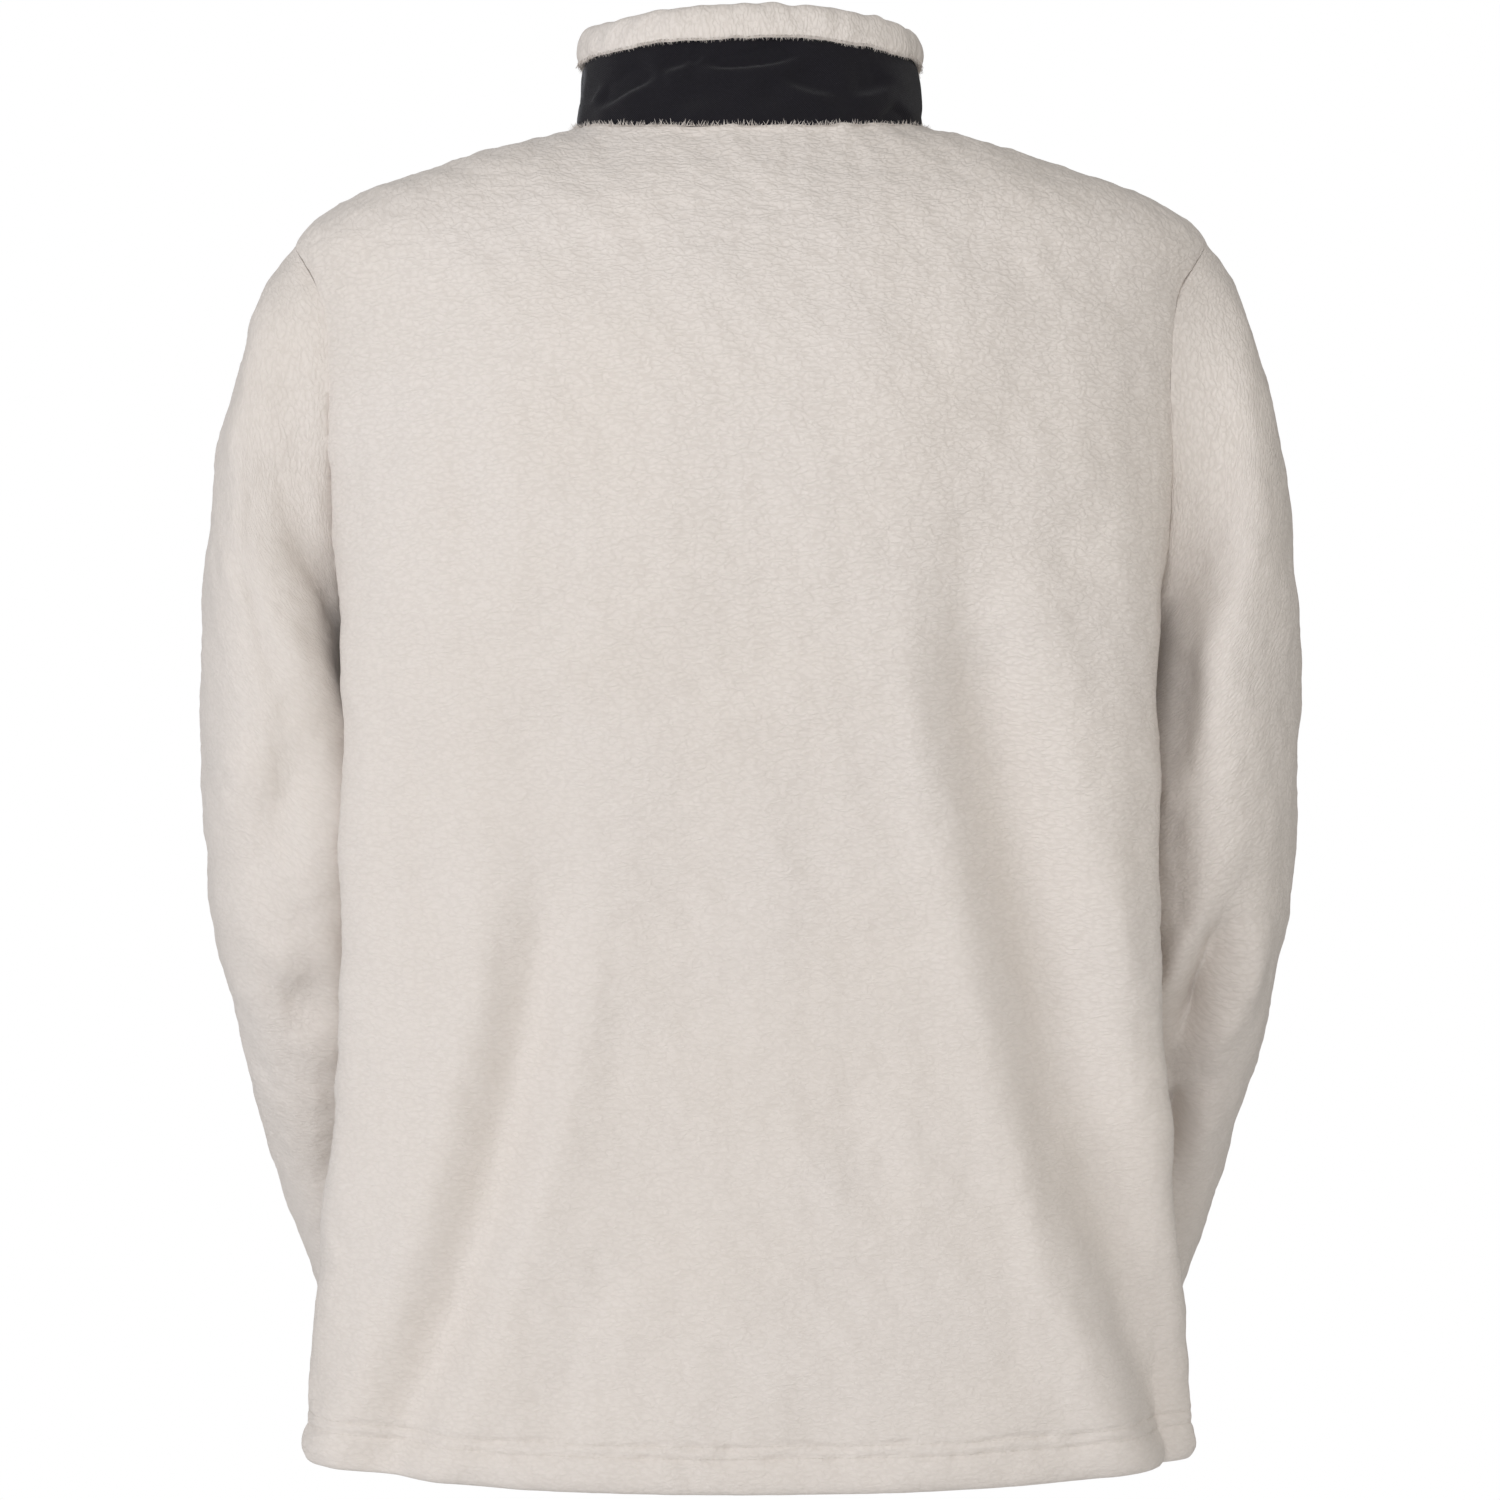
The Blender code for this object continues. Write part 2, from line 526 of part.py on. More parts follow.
def mesh_object(name, points, faces, skin):
    mesh = bpy.data.meshes.new(name)
    mesh.from_pydata([tuple(point) for point in points], [], faces)
    mesh.materials.append(skin)
    made = bpy.data.objects.new(name, mesh)
    bpy.context.scene.collection.objects.link(made)
    return made


def swept_object(name, sections, skin):
    """A closed bar: one loop of points for each place along it, with flat ends."""
    count, corners = sections.shape[:2]
    faces = []
    for i in range(count - 1):
        for j in range(corners):
            a, b = i * corners + j, i * corners + (j + 1) % corners
            faces.append((a, a + corners, b + corners, b))
    faces.append(tuple(range(corners)))
    faces.append(tuple(reversed(range((count - 1) * corners, count * corners))))
    return mesh_object(name, sections.reshape(-1, 3), faces, skin)


def hem_shaped(outer, inner, rises, from_top=False):
    """Rounds the turned edge and draws the cloth in along its stitching."""
    outer, inner = outer.copy(), inner.copy()
    rows = range(len(rises)) if not from_top else range(len(outer) - 1, len(outer) - 1 - len(rises), -1)
    for row, rise in zip(rows, rises):
        across = inner[row] - outer[row]
        across /= np.linalg.norm(across, axis=1, keepdims=True)
        if rise == 0.0:
            outer[row] += HEM_ROUND * across
            inner[row] -= HEM_ROUND * across
        if rise == HEM_STITCH:
            outer[row] += HEM_PINCH * across
    return outer, inner


def wall_rows(count, rises, from_top=False):
    """Wall thickness of each row: the turned hem's up to its stitching, then the cloth's own."""
    walls = [HEM_WALL if rise <= HEM_STITCH else FLEECE_WALL for rise in rises]
    rest = [FLEECE_WALL] * (count - len(walls))
    return rest + walls[::-1] if from_top else walls + rest


def neck_ring(grids):
    """The neck seam's points, from the left front edge round the back to the right front edge."""
    return np.concatenate([grids["left_front"][-1], grids["back"][-1, 1:], grids["right_front"][-1, 1:]])


def collar_frame(neck):
    """Each column's height, outward direction level with the neck, and normal across the stand."""
    angle = np.arctan2(neck[:, 0] / RINGS[-1][3], neck[:, 1] / RINGS[-1][4])
    end = np.where(np.cos(angle) > 0, COLLAR_HEIGHT["back"], COLLAR_HEIGHT["front"])
    height = COLLAR_HEIGHT["side"] + np.cos(angle) ** 2 * (end - COLLAR_HEIGHT["side"])
    along = np.gradient(neck, axis=0)
    outward = np.cross(along, [0.0, 0.0, 1.0])
    outward /= np.linalg.norm(outward, axis=1, keepdims=True)
    normal = outward - np.outer(outward @ COLLAR_UP, COLLAR_UP)
    normal /= np.linalg.norm(normal, axis=1, keepdims=True)
    return height, outward, normal


def collar_row(neck, frame, rise, depth):
    """Points at one height up the stand, and this far in from the woven panel's outer face."""
    height, outward, normal = frame
    up = np.broadcast_to(rise, height.shape)[:, None]
    lean_in = COLLAR_TAPER * up / height[:, None]
    return neck + COLLAR_UP * up - outward * lean_in - normal * depth


def collar_foot(neck, frame, normals, depth):
    """The stand's lowest points, cut at the same slant as the body's neck edge."""
    normal = frame[2]
    slant = np.array([normals[key(point)] for point in neck])
    slant /= np.linalg.norm(slant, axis=1, keepdims=True)
    reach = depth / np.sum(slant * normal, axis=1, keepdims=True)
    return neck + COLLAR_UP * 2 * SEAM_GAP - slant * reach


def collar_panel(neck, frame, normals, skin):
    height = frame[0]
    top = height - BAND_DEPTH + BAND_COVER
    outer = [collar_foot(neck, frame, normals, 0.0)]
    inner = [collar_foot(neck, frame, normals, WOVEN_WALL)]
    for share in PANEL_SHARES:
        outer.append(collar_row(neck, frame, top * share, 0.0))
        inner.append(collar_row(neck, frame, top * share, WOVEN_WALL))
    return wall_object("collar_panel", np.array(outer), np.array(inner), skin)


def collar_fleece(neck, frame, normals, skin):
    """The fleece lining of the stand, rolled over its top and a little way down outside the woven panel."""
    height = frame[0]
    rows = [collar_foot(neck, frame, normals, FLEECE_DEPTH)]
    rows += [collar_row(neck, frame, share * height + rise, depth) for share, rise, depth in BAND_ROLL]
    rows.append(collar_foot(neck, frame, normals, WOVEN_WALL + LAYER_GAP))
    return swept_object("collar_fleece", np.array(rows).transpose(1, 0, 2)[:, ::-1], skin)


def zip_line():
    """Places up the middle of the front: (level or None, height up the collar, depth of the tape)."""
    body = []
    for i, level in enumerate(body_levels()[:-1]):
        wall = HEM_WALL if i < HEM_TAPE_ROWS else FLEECE_WALL
        body.append((level, 0.0, wall + TAPE_GAP))
    top = COLLAR_HEIGHT["front"] - ZIP_TOP
    return body + [(None, top * share, FLEECE_DEPTH + TAPE_GAP) for share in COLLAR_ZIP_SHARES]


def zip_places(line, across):
    """For each place: the outer surface's points at these distances from the middle."""
    rows = []
    for level, rise, _ in line:
        at = NECK_LEVEL if level is None else level
        row = []
        for x in across:
            angle = angle_at_x(at, abs(x))
            point = torso_point(np.array(float(at)), np.array(angle)) * np.array([math.copysign(1, x), 1, 1])
            if level is None:
                share = rise / COLLAR_HEIGHT["front"]
                point = point + COLLAR_UP * rise + np.array([0, COLLAR_TAPER * share, 0])
            row.append(point)
        rows.append(row)
    return np.array(rows)


def zip_inward(places):
    """The direction into the body at each place of the zip."""
    along = np.gradient(places, axis=0)
    inward = np.stack([0 * along[:, 0], along[:, 2], -along[:, 1]], axis=-1)
    return inward / np.linalg.norm(inward, axis=1, keepdims=True)


def tape(name, side, skin):
    line = zip_line()
    across = [side * x for x in (TAPE_INNER, (TAPE_INNER + TAPE_OUTER) / 2, TAPE_OUTER)]
    places = zip_places(line, across)
    inward = zip_inward(zip_places(line, [ZIP_MIDDLE])[:, 0])
    depth = np.array([place[2] for place in line])[:, None]
    rows = []
    for i in range(len(across)):
        rows.append(places[:, i] + inward * depth)
    for i in reversed(range(len(across))):
        rows.append(places[:, i] + inward * (depth + TAPE_THICK))
    sections = np.array(rows).transpose(1, 0, 2)
    return swept_object(name, sections if side < 0 else sections[:, ::-1], skin)


def chain_frame():
    """Middle points of the chain up the front, and the direction into the body there."""
    line = zip_line()
    middle = zip_places(line, [ZIP_MIDDLE])[:, 0] * np.array([0.0, 1.0, 1.0])
    inward = zip_inward(middle)
    depth = np.array([place[2] for place in line])[:, None] + TAPE_THICK / 2
    return middle + inward * depth, inward


def bar_sections(middle, inward, half_width, half_thick):
    bevel = CHAIN_BEVEL * half_thick
    loop = (
        (half_width, -half_thick + bevel),
        (half_width, half_thick - bevel),
        (half_width - bevel, half_thick),
        (-half_width + bevel, half_thick),
        (-half_width, half_thick - bevel),
        (-half_width, -half_thick + bevel),
        (-half_width + bevel, -half_thick),
        (half_width - bevel, -half_thick),
    )
    rows = [middle + np.array([x, 0, 0]) + inward * thick for x, thick in loop]
    return np.array(rows).transpose(1, 0, 2)[:, ::-1]


def cut_line(middle, inward, start, end):
    """The stretch of the chain's line between two distances along it."""
    run = np.concatenate([[0], np.cumsum(np.linalg.norm(np.diff(middle, axis=0), axis=1))])
    end = run[-1] + end if end <= 0 else end
    keep = (run > start + CHAIN_END_ROOM) & (run < end - CHAIN_END_ROOM)
    stops = np.concatenate([[start], run[keep], [end]])
    at = np.stack([np.interp(stops, run, middle[:, i]) for i in range(3)], axis=1)
    into = np.stack([np.interp(stops, run, inward[:, i]) for i in range(3)], axis=1)
    return at, into


def box_points(low, high):
    corners = [(x, y, z) for z in (low[2], high[2]) for y in (low[1], high[1]) for x in (low[0], high[0])]
    faces = [(0, 2, 3, 1), (4, 5, 7, 6), (0, 1, 5, 4), (2, 6, 7, 3), (0, 4, 6, 2), (1, 3, 7, 5)]
    return np.array(corners), faces


def union_object(name, boxes, place, skin):
    """Boxes joined into one solid, then set in its place."""
    made = None
    for i, (low, high) in enumerate(boxes):
        points, faces = box_points(low, high)
        points = points @ place[:3, :3].T + place[:3, 3]
        piece = mesh_object(name if made is None else f"{name}_joined_{i}", points, faces, skin)
        if made is None:
            made = piece
            continue
        join = made.modifiers.new(f"join_{i}", "BOOLEAN")
        join.operation = "UNION"
        join.solver = "EXACT"
        join.object = piece
        piece.hide_render = True
        piece.hide_viewport = True
    return made


def local_frame(origin, inward, up):
    """Columns x across, y inwards, z up the chain."""
    place = np.eye(4)
    place[:3, 0] = (1, 0, 0)
    place[:3, 1] = inward
    place[:3, 2] = up
    place[:3, 3] = origin
    return place


def slider_boxes(axis_y, axis_z):
    """Two plates, the neck between them and the arch that holds the pull tab's bar."""
    front = -PLATE_PART - PLATE_THICK
    roof = axis_y - TAB_BAR - SEAM_GAP
    below, above = axis_z - ARCH_INSIDE, axis_z + ARCH_INSIDE
    neck_half = PLATE_PART + OVERLAP
    return (
        ((-SLIDER_HALF, front, -SLIDER_LENGTH), (SLIDER_HALF, -PLATE_PART, 0.0)),
        ((-SLIDER_HALF, PLATE_PART, -SLIDER_LENGTH), (SLIDER_HALF, -front, 0.0)),
        ((-SLIDER_NECK_HALF, -neck_half, -SLIDER_NECK_LONG), (SLIDER_NECK_HALF, neck_half, -OVERLAP)),
        ((-ARCH_HALF, roof - ARCH_WALL, below - ARCH_WALL), (ARCH_HALF, front + OVERLAP, below)),
        ((-ARCH_HALF, roof - ARCH_WALL, above), (ARCH_HALF, front + OVERLAP, above + ARCH_WALL)),
        ((-ARCH_HALF, roof - ARCH_WALL, below - SMALL_OVERLAP), (ARCH_HALF, roof, above + SMALL_OVERLAP)),
    )


def tab_boxes():
    """A bar under the arch, two cheeks beside it and the plate that is pulled."""
    half = TAB_THICK / 2
    eye = -TAB_EYE_LONG - OVERLAP
    return (
        ((-TAB_HALF, -TAB_BAR, -TAB_BAR), (TAB_HALF, TAB_BAR, TAB_BAR)),
        ((-TAB_HALF, -half, eye), (-TAB_EYE_HALF, half, SMALL_OVERLAP)),
        ((TAB_EYE_HALF, -half, eye), (TAB_HALF, half, SMALL_OVERLAP)),
        ((-TAB_HALF, -half, -TAB_LONG), (TAB_HALF, half, -TAB_EYE_LONG)),
    )


def build_zip(tape_skin, metal_skin):
    middle, inward = chain_frame()
    tape("zip_tape_left", 1, tape_skin)
    tape("zip_tape_right", -1, tape_skin)
    at, into = cut_line(middle, inward, CHAIN_START, BOX_LENGTH)
    swept_object("zip_box", bar_sections(at, into, CHAIN_HALF, BOX_HALF_THICK), metal_skin)
    at, into = cut_line(middle, inward, BOX_LENGTH + SEAM_GAP, -(SLIDER_NECK_LONG + SLIDER_CLEAR))
    swept_object("zip_chain", bar_sections(at, into, CHAIN_HALF, CHAIN_THICK / 2), metal_skin)
    up = middle[-1] - middle[-2]
    up /= np.linalg.norm(up)
    place = local_frame(middle[-1], np.cross(up, (1.0, 0.0, 0.0)), up)
    axis_y = -PLATE_PART - PLATE_THICK - SEAM_GAP - TAB_BAR
    axis_z = -0.5 * SLIDER_LENGTH
    union_object("zip_slider", slider_boxes(axis_y, axis_z), place, metal_skin)
    hinge = place[:3, :3] @ np.array([0, axis_y, axis_z]) + place[:3, 3]
    hanging = local_frame(hinge, (0.0, 1.0, 0.0), (0.0, 0.0, 1.0))
    union_object("pull_tab", tab_boxes(), hanging, metal_skin)


def build_jacket():
    clear_scene()
    fleece = material("cream_pile_fleece", (0.70, 0.64, 0.56), 0.95)
    woven = material("black_woven_cloth", (0.020, 0.019, 0.023), 0.60)
    tape_skin = material("black_zip_tape", (0.022, 0.021, 0.024), 0.85)
    metal = material("dark_zip_metal", (0.10, 0.10, 0.11), 0.38, 0.9)
    grids = body_grids()
    back = grids["back"]
    arms = {
        "left": sleeve_grid("left", armhole_ring(back, grids["left_front"])),
        "right": mirrored(sleeve_grid("right", armhole_ring(mirrored(back), mirrored(grids["right_front"])))),
    }
    neck = neck_ring(grids)
    frame = collar_frame(neck)
    stand = np.array([neck, collar_row(neck, frame, 0.3 * frame[0], 0.0)])
    seen = [*grids.values(), *(ring_closed(grid) for grid in arms.values()), stand]
    normals = shared_normals(seen)
    for name, grid in grids.items():
        walls = wall_rows(len(grid), HEM_ROWS)
        inner = inner_grid(grid, walls, normals)
        outer, inner = hem_shaped(grid, inner, HEM_ROWS)
        outer, inner = parted(outer, inner, BODY_SEAMS[name])
        wall_object(name, outer, inner, fleece)
    for arm, grid in arms.items():
        walls = wall_rows(len(grid), CUFF_ROWS[::-1], from_top=True)
        inner = inner_grid(grid, walls, normals)
        outer, inner = hem_shaped(grid, inner, CUFF_ROWS[::-1], from_top=True)
        outer, inner = parted(outer, inner, ("first_row",))
        wall_object(f"{arm}_sleeve", outer, inner, fleece, round_wall=True)
    collar_panel(neck, frame, normals, woven)
    collar_fleece(neck, frame, normals, fleece)
    build_zip(tape_skin, metal)


build_jacket()
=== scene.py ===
import math

import bpy
import numpy as np
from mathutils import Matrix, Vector


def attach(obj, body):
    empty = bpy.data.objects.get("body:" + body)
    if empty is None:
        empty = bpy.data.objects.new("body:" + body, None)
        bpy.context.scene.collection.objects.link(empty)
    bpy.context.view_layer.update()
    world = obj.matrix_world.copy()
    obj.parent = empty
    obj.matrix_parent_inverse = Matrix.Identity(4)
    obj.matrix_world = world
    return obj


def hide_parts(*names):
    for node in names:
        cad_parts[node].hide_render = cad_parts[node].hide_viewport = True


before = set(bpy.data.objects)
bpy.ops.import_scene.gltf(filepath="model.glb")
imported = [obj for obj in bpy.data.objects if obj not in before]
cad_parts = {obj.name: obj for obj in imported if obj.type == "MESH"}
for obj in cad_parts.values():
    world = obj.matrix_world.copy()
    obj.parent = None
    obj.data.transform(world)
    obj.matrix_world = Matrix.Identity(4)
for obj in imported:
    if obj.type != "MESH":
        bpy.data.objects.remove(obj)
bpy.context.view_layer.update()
print("frame loaded")

# The body as rings from the hem to the neck seam:
# side height, back height, front height, half width, back, front, widest depth, dent under the arm, squareness
torso = dict(
    rings=(
        (-0.684, -0.695, -0.690, 0.2275, 0.118, -0.126, 0.050, 0.000, 2.30),
        (-0.640, -0.650, -0.646, 0.2245, 0.119, -0.126, 0.052, 0.000, 2.30),
        (-0.560, -0.566, -0.563, 0.2175, 0.116, -0.122, 0.058, 0.002, 2.25),
        (-0.460, -0.463, -0.461, 0.2125, 0.110, -0.119, 0.062, 0.010, 2.20),
        (-0.380, -0.381, -0.380, 0.2125, 0.112, -0.123, 0.064, 0.016, 2.20),
        (-0.310, -0.309, -0.310, 0.2120, 0.120, -0.131, 0.062, 0.016, 2.20),
        (-0.262, -0.256, -0.264, 0.2130, 0.126, -0.134, 0.058, 0.013, 2.20),
        (-0.200, -0.192, -0.205, 0.2180, 0.130, -0.131, 0.048, 0.006, 2.15),
        (-0.140, -0.131, -0.151, 0.2240, 0.126, -0.121, 0.032, 0.001, 2.10),
        (-0.095, -0.088, -0.114, 0.2310, 0.115, -0.108, 0.015, 0.000, 2.10),
        (-0.060, -0.062, -0.095, 0.2365, 0.103, -0.098, 0.004, 0.000, 2.10),
        (-0.0345, -0.048, -0.086, 0.2050, 0.095, -0.093, 0.003, 0.000, 2.15),
        (-0.0200, -0.034, -0.078, 0.1650, 0.086, -0.089, 0.002, 0.000, 2.20),
        (-0.0080, -0.019, -0.070, 0.1250, 0.074, -0.084, 0.001, 0.000, 2.20),
        (0.0000, -0.004, -0.062, 0.0895, 0.062, -0.079, 0.000, 0.000, 2.20),
    ),
    pit=6, tip=10, neck=14,  # ring numbers
    dentDepth=0.003, dentReach=0.056,
    sideSeam=0.0,  # how far back the side seam lies
    armholeBack=0.060, armholeFront=0.064, armholeFullness=0.45,
    zipEdge=0.0085,  # from the middle to each front's edge
    wall=0.0048, hemWall=0.0082,
    cell=0.0030,
    armholeSteps=72, shoulderSteps=56,
    backCells=(44, 104, 44), backTurn=60,
    frontCells=(52, 36), frontTurn=140,
)
hem = dict(
    lines=(0.0185, 0.0247),  # heights of the twin stitch lines above the edge
    grooveDepth=0.0010, grooveWidth=0.0017, grooveWander=0.0007,
    edgeRadius=0.0062, edgeRound=0.75, plump=0.0009, plumpAt=0.0100, plumpWidth=0.0055,
    turnUp=0.0285, turnStep=0.004,  # height of the turned cloth, and over how much it thins out
    rows=(0, 0.0005, 0.0013, 0.0024, 0.0038, 0.0056, 0.0078, 0.0103, 0.0128, 0.0148, 0.0162, 0.0171, 0.0178,
          0.0185, 0.0192, 0.0199, 0.0208, 0.0220, 0.0231, 0.0240, 0.0247, 0.0254, 0.0262, 0.0272, 0.0286,
          0.0306, 0.0330),
)


def smoothRows(rows, level):
    rows = np.asarray(rows, float)
    slopes = np.gradient(rows, axis=0)
    level = np.asarray(level, float)
    low = np.clip(np.floor(level).astype(int), 0, len(rows) - 2)
    return between((level - low)[..., None], rows[low], rows[low + 1], slopes[low], slopes[low + 1])


def between(s, start, end, slopeStart, slopeEnd, length=1):
    # A smooth curve from start to end, s from 0 to 1
    return (
        (1 + 2 * s) * (1 - s) ** 2 * start + s * (1 - s) ** 2 * length * slopeStart
        + s * s * (3 - 2 * s) * end + s * s * (s - 1) * length * slopeEnd
    )


def bell(away, width):
    return np.exp(-((away / width) ** 2))


def pointsAt(places, run, line):
    # A line's points, or directions, at places along it
    return np.stack([np.interp(places, run, line[:, i]) for i in range(3)], axis=-1)


def ringAt(level):
    names = ("sideZ", "backZ", "frontZ", "halfWidth", "back", "front", "widest", "dent", "square")
    values = smoothRows(torso["rings"], level)
    return {name: values[..., i] for i, name in enumerate(names)}


def levelAt(sideZ):
    levels = np.linspace(0, torso["neck"], 1401)
    return np.interp(sideZ, ringAt(levels)["sideZ"], levels)


def torsoPoint(level, angle):
    at = ringAt(level)
    sine, cosine = np.sin(angle), np.cos(angle)
    power = 2 / at["square"]
    across = np.sign(sine) * np.abs(sine) ** power
    deep = np.sign(cosine) * np.abs(cosine) ** power
    behind = cosine > 0
    reach = np.where(behind, at["back"] - at["widest"], at["widest"] - at["front"])
    x = at["halfWidth"] * across
    y = at["widest"] + reach * deep
    endZ = np.where(behind, at["backZ"], at["frontZ"])
    z = at["sideZ"] + cosine**2 * (endZ - at["sideZ"])
    dent = at["dent"] * bell(y - torso["dentDepth"], torso["dentReach"])
    return np.stack([x - np.sign(x) * across**2 * dent, y, z], axis=-1), np.abs(deep), behind


def angleAtDepth(level, y):
    at = {name: float(value) for name, value in ringAt(level).items()}
    reach = at["back"] - at["widest"] if y > at["widest"] else at["widest"] - at["front"]
    cosine = (abs(y - at["widest"]) / reach) ** (at["square"] / 2)
    return math.acos(math.copysign(min(cosine, 1.0), y - at["widest"]))


def angleAtSide(level, x):
    at = {name: float(value) for name, value in ringAt(level).items()}
    return math.pi - math.asin((x / at["halfWidth"]) ** (at["square"] / 2))


def panelEdges(level):
    # The side edges of the back and of a front at this level, as angles on the left side
    if level >= torso["tip"]:
        seam = angleAtDepth(level, float(ringAt(level)["widest"]))
        return seam, seam
    pitZ, tipZ = torso["rings"][torso["pit"]][0], torso["rings"][torso["tip"]][0]
    rise = (float(ringAt(level)["sideZ"]) - pitZ) / (tipZ - pitZ)
    if rise <= 1e-6:
        seam = angleAtDepth(level, torso["sideSeam"])
        return seam, seam
    middle = torso["sideSeam"] + rise * (torso["rings"][torso["tip"]][6] - torso["sideSeam"])
    half = (4 * rise * (1 - rise)) ** torso["armholeFullness"]
    return (
        angleAtDepth(level, middle + torso["armholeBack"] * half),
        angleAtDepth(level, middle - torso["armholeFront"] * half),
    )


def evenAngles(level, stops, cells):
    # Angles along one ring, evenly spaced between each two stops
    found = [stops[:1]]
    for start, end, count in zip(stops, stops[1:], cells):
        fine = np.linspace(start, end, 160)
        points = torsoPoint(np.full(160, level), fine)[0]
        run = runAlong(points, 0)
        angles = np.interp(np.linspace(0, run[-1], count + 1), run, fine)
        angles[-1] = end
        found.append(angles[1:])
    return np.concatenate(found)


def bodyLevels():
    rings = torso["rings"]
    hemZ, pitZ, tipZ = rings[0][0], rings[torso["pit"]][0], rings[torso["tip"]][0]
    levels = [float(levelAt(hemZ + rise)) for rise in hem["rows"]]
    first = hemZ + hem["rows"][-1]
    count = round((pitZ - first) / torso["cell"])
    levels += [float(levelAt(first + (pitZ - first) * i / count)) for i in range(1, count)]
    armhole = len(levels)
    for i in range(torso["armholeSteps"]):
        levels.append(float(levelAt(pitZ + (tipZ - pitZ) * (1 - math.cos(math.pi * i / torso["armholeSteps"])) / 2)))
    step = (torso["neck"] - torso["tip"]) / torso["shoulderSteps"]
    levels += [torso["tip"] + step * i for i in range(torso["shoulderSteps"] + 1)]
    return levels, armhole


def bodyAngles(levels):
    back, left = [], []
    for level in levels:
        backEdge, frontEdge = panelEdges(level)
        turn = math.radians(torso["backTurn"])
        back.append(evenAngles(level, (backEdge, turn, -turn, -backEdge), torso["backCells"]))
        turn = math.radians(torso["frontTurn"])
        left.append(evenAngles(level, (angleAtSide(level, torso["zipEdge"]), turn, frontEdge), torso["frontCells"]))
    left = np.array(left)
    return {"back": np.array(back), "left_front": left, "right_front": -left[:, ::-1]}


def torsoGrid(levels, angles):
    # Points and outward directions; columns run against the angle
    level = np.broadcast_to(np.array(levels)[:, None], angles.shape)
    points, deep, behind = torsoPoint(level, angles)
    step = 1e-3
    along = torsoPoint(level, angles - step)[0] - torsoPoint(level, angles + step)[0]
    upward = torsoPoint(level + step, angles)[0] - torsoPoint(level - step, angles)[0]
    return points, unit(np.cross(along, upward)), deep, behind


def unit(vectors):
    return vectors / np.maximum(np.linalg.norm(vectors, axis=-1, keepdims=True), 1e-12)


def gridNormals(points, closed=False):
    if closed:
        wrapped = np.concatenate([points[:, -1:], points, points[:, :1]], axis=1)
        along = (wrapped[:, 2:] - wrapped[:, :-2]) / 2
    else:
        along = np.gradient(points, axis=1)
    return unit(np.cross(along, np.gradient(points, axis=0)))


cloth = dict(
    foldRidge=0.35,  # of a fold's depth, beside each trough
    foldRidgeAt=1.9, foldRidgeWidth=0.9,  # of the fold's width
    foldEnds=0.35,  # share of a fold's length over which each end fades
    creaseSteep=0.7, creaseGentle=2.2,  # of a crease's width, the ridge's two slopes
    hollowAt=1.5, hollowFar=2.4,  # of a crease's width, where its hollow lies and how far it runs out
    foldFreeSide=0.3,  # how near the side seams folds begin to fade
    sideSpread=0.022,  # cloth moved beside the side seams where they are brought together
    seamDepth=0.0006, seamWidth=0.0034, seamPucker=0.4, puckerSize=0.016, seamRidgeAt=0.0058, seamRidgeWidth=0.0026,
    seamEase=0.030, easeByArm=0.35, easeByTip=0.85,  # over what distance and how much less seams are drawn in
    armholeRidge=0.0006, underarmDepth=0.0011,
    seeds=dict(surface=40, bodyHem=200, cuff=230, bodySeam=70, armhole=33, underarm=21),
    neckLip=0.0009, neckLipWidth=0.004,  # pile standing over the collar's foot
    openRim=0.0022,  # how far the lining comes round at hem and cuffs
    # The fronts' edges, turned in beside the zip
    zipEdgeRadius=0.0032, zipEdgeRound=0.8, zipEdgeDepth=0.0009, zipEdgeWidth=0.0013,
    zipStitch=0.0080,  # from each front's edge to its line of stitches
    swell=(0.0007, 0.075), roll=(0.00028, 0.026), clump=(0.00016, 0.010),  # height and size of the uneven surface
)


def foldProfile(away, width, depth):
    ridge = bell(away - cloth["foldRidgeAt"] * width, cloth["foldRidgeWidth"] * width)
    return depth * (cloth["foldRidge"] * ridge - bell(away, width))


def fade(along, start, end):
    rise = np.clip(along / cloth["foldEnds"], 0, 1)
    fall = np.clip((1 - along) / cloth["foldEnds"], 0, 1)
    rise, fall = rise * rise * (3 - 2 * rise), fall * fall * (3 - 2 * fall)
    return (start + (1 - start) * rise) * (end + (1 - end) * fall)


def nearLine(a, b, row):
    # How far each place is from a bent line, how far along it, and on which side (1 is left of its course)
    steps = np.linspace(0, 1, 25)
    lineA = (1 - steps) ** 2 * row[0] + 2 * steps * (1 - steps) * row[2] + steps**2 * row[4]
    lineB = (1 - steps) ** 2 * row[1] + 2 * steps * (1 - steps) * row[3] + steps**2 * row[5]
    away = np.full(np.shape(a), 1e9)
    along, side = np.zeros(np.shape(a)), np.zeros(np.shape(a))
    for i in range(24):
        courseA, courseB = lineA[i + 1] - lineA[i], lineB[i + 1] - lineB[i]
        fromA, fromB = a - lineA[i], b - lineB[i]
        share = np.clip((fromA * courseA + fromB * courseB) / (courseA**2 + courseB**2), 0, 1)
        found = np.hypot(fromA - share * courseA, fromB - share * courseB)
        closer = found < away
        along = np.where(closer, (i + share) / 24, along)
        side = np.where(closer, np.sign(courseA * fromB - courseB * fromA), side)
        away = np.minimum(found, away)
    return away, along, side


def bentLines(a, b, rows):
    # Relief of bent folds over a surface laid out flat in a (sideways) and b (up)
    total = np.zeros(np.shape(a))
    for row in rows:
        away, along, _ = nearLine(a, b, row)
        total += foldProfile(away, row[6], row[7]) * fade(along, row[8], row[9])
    return total


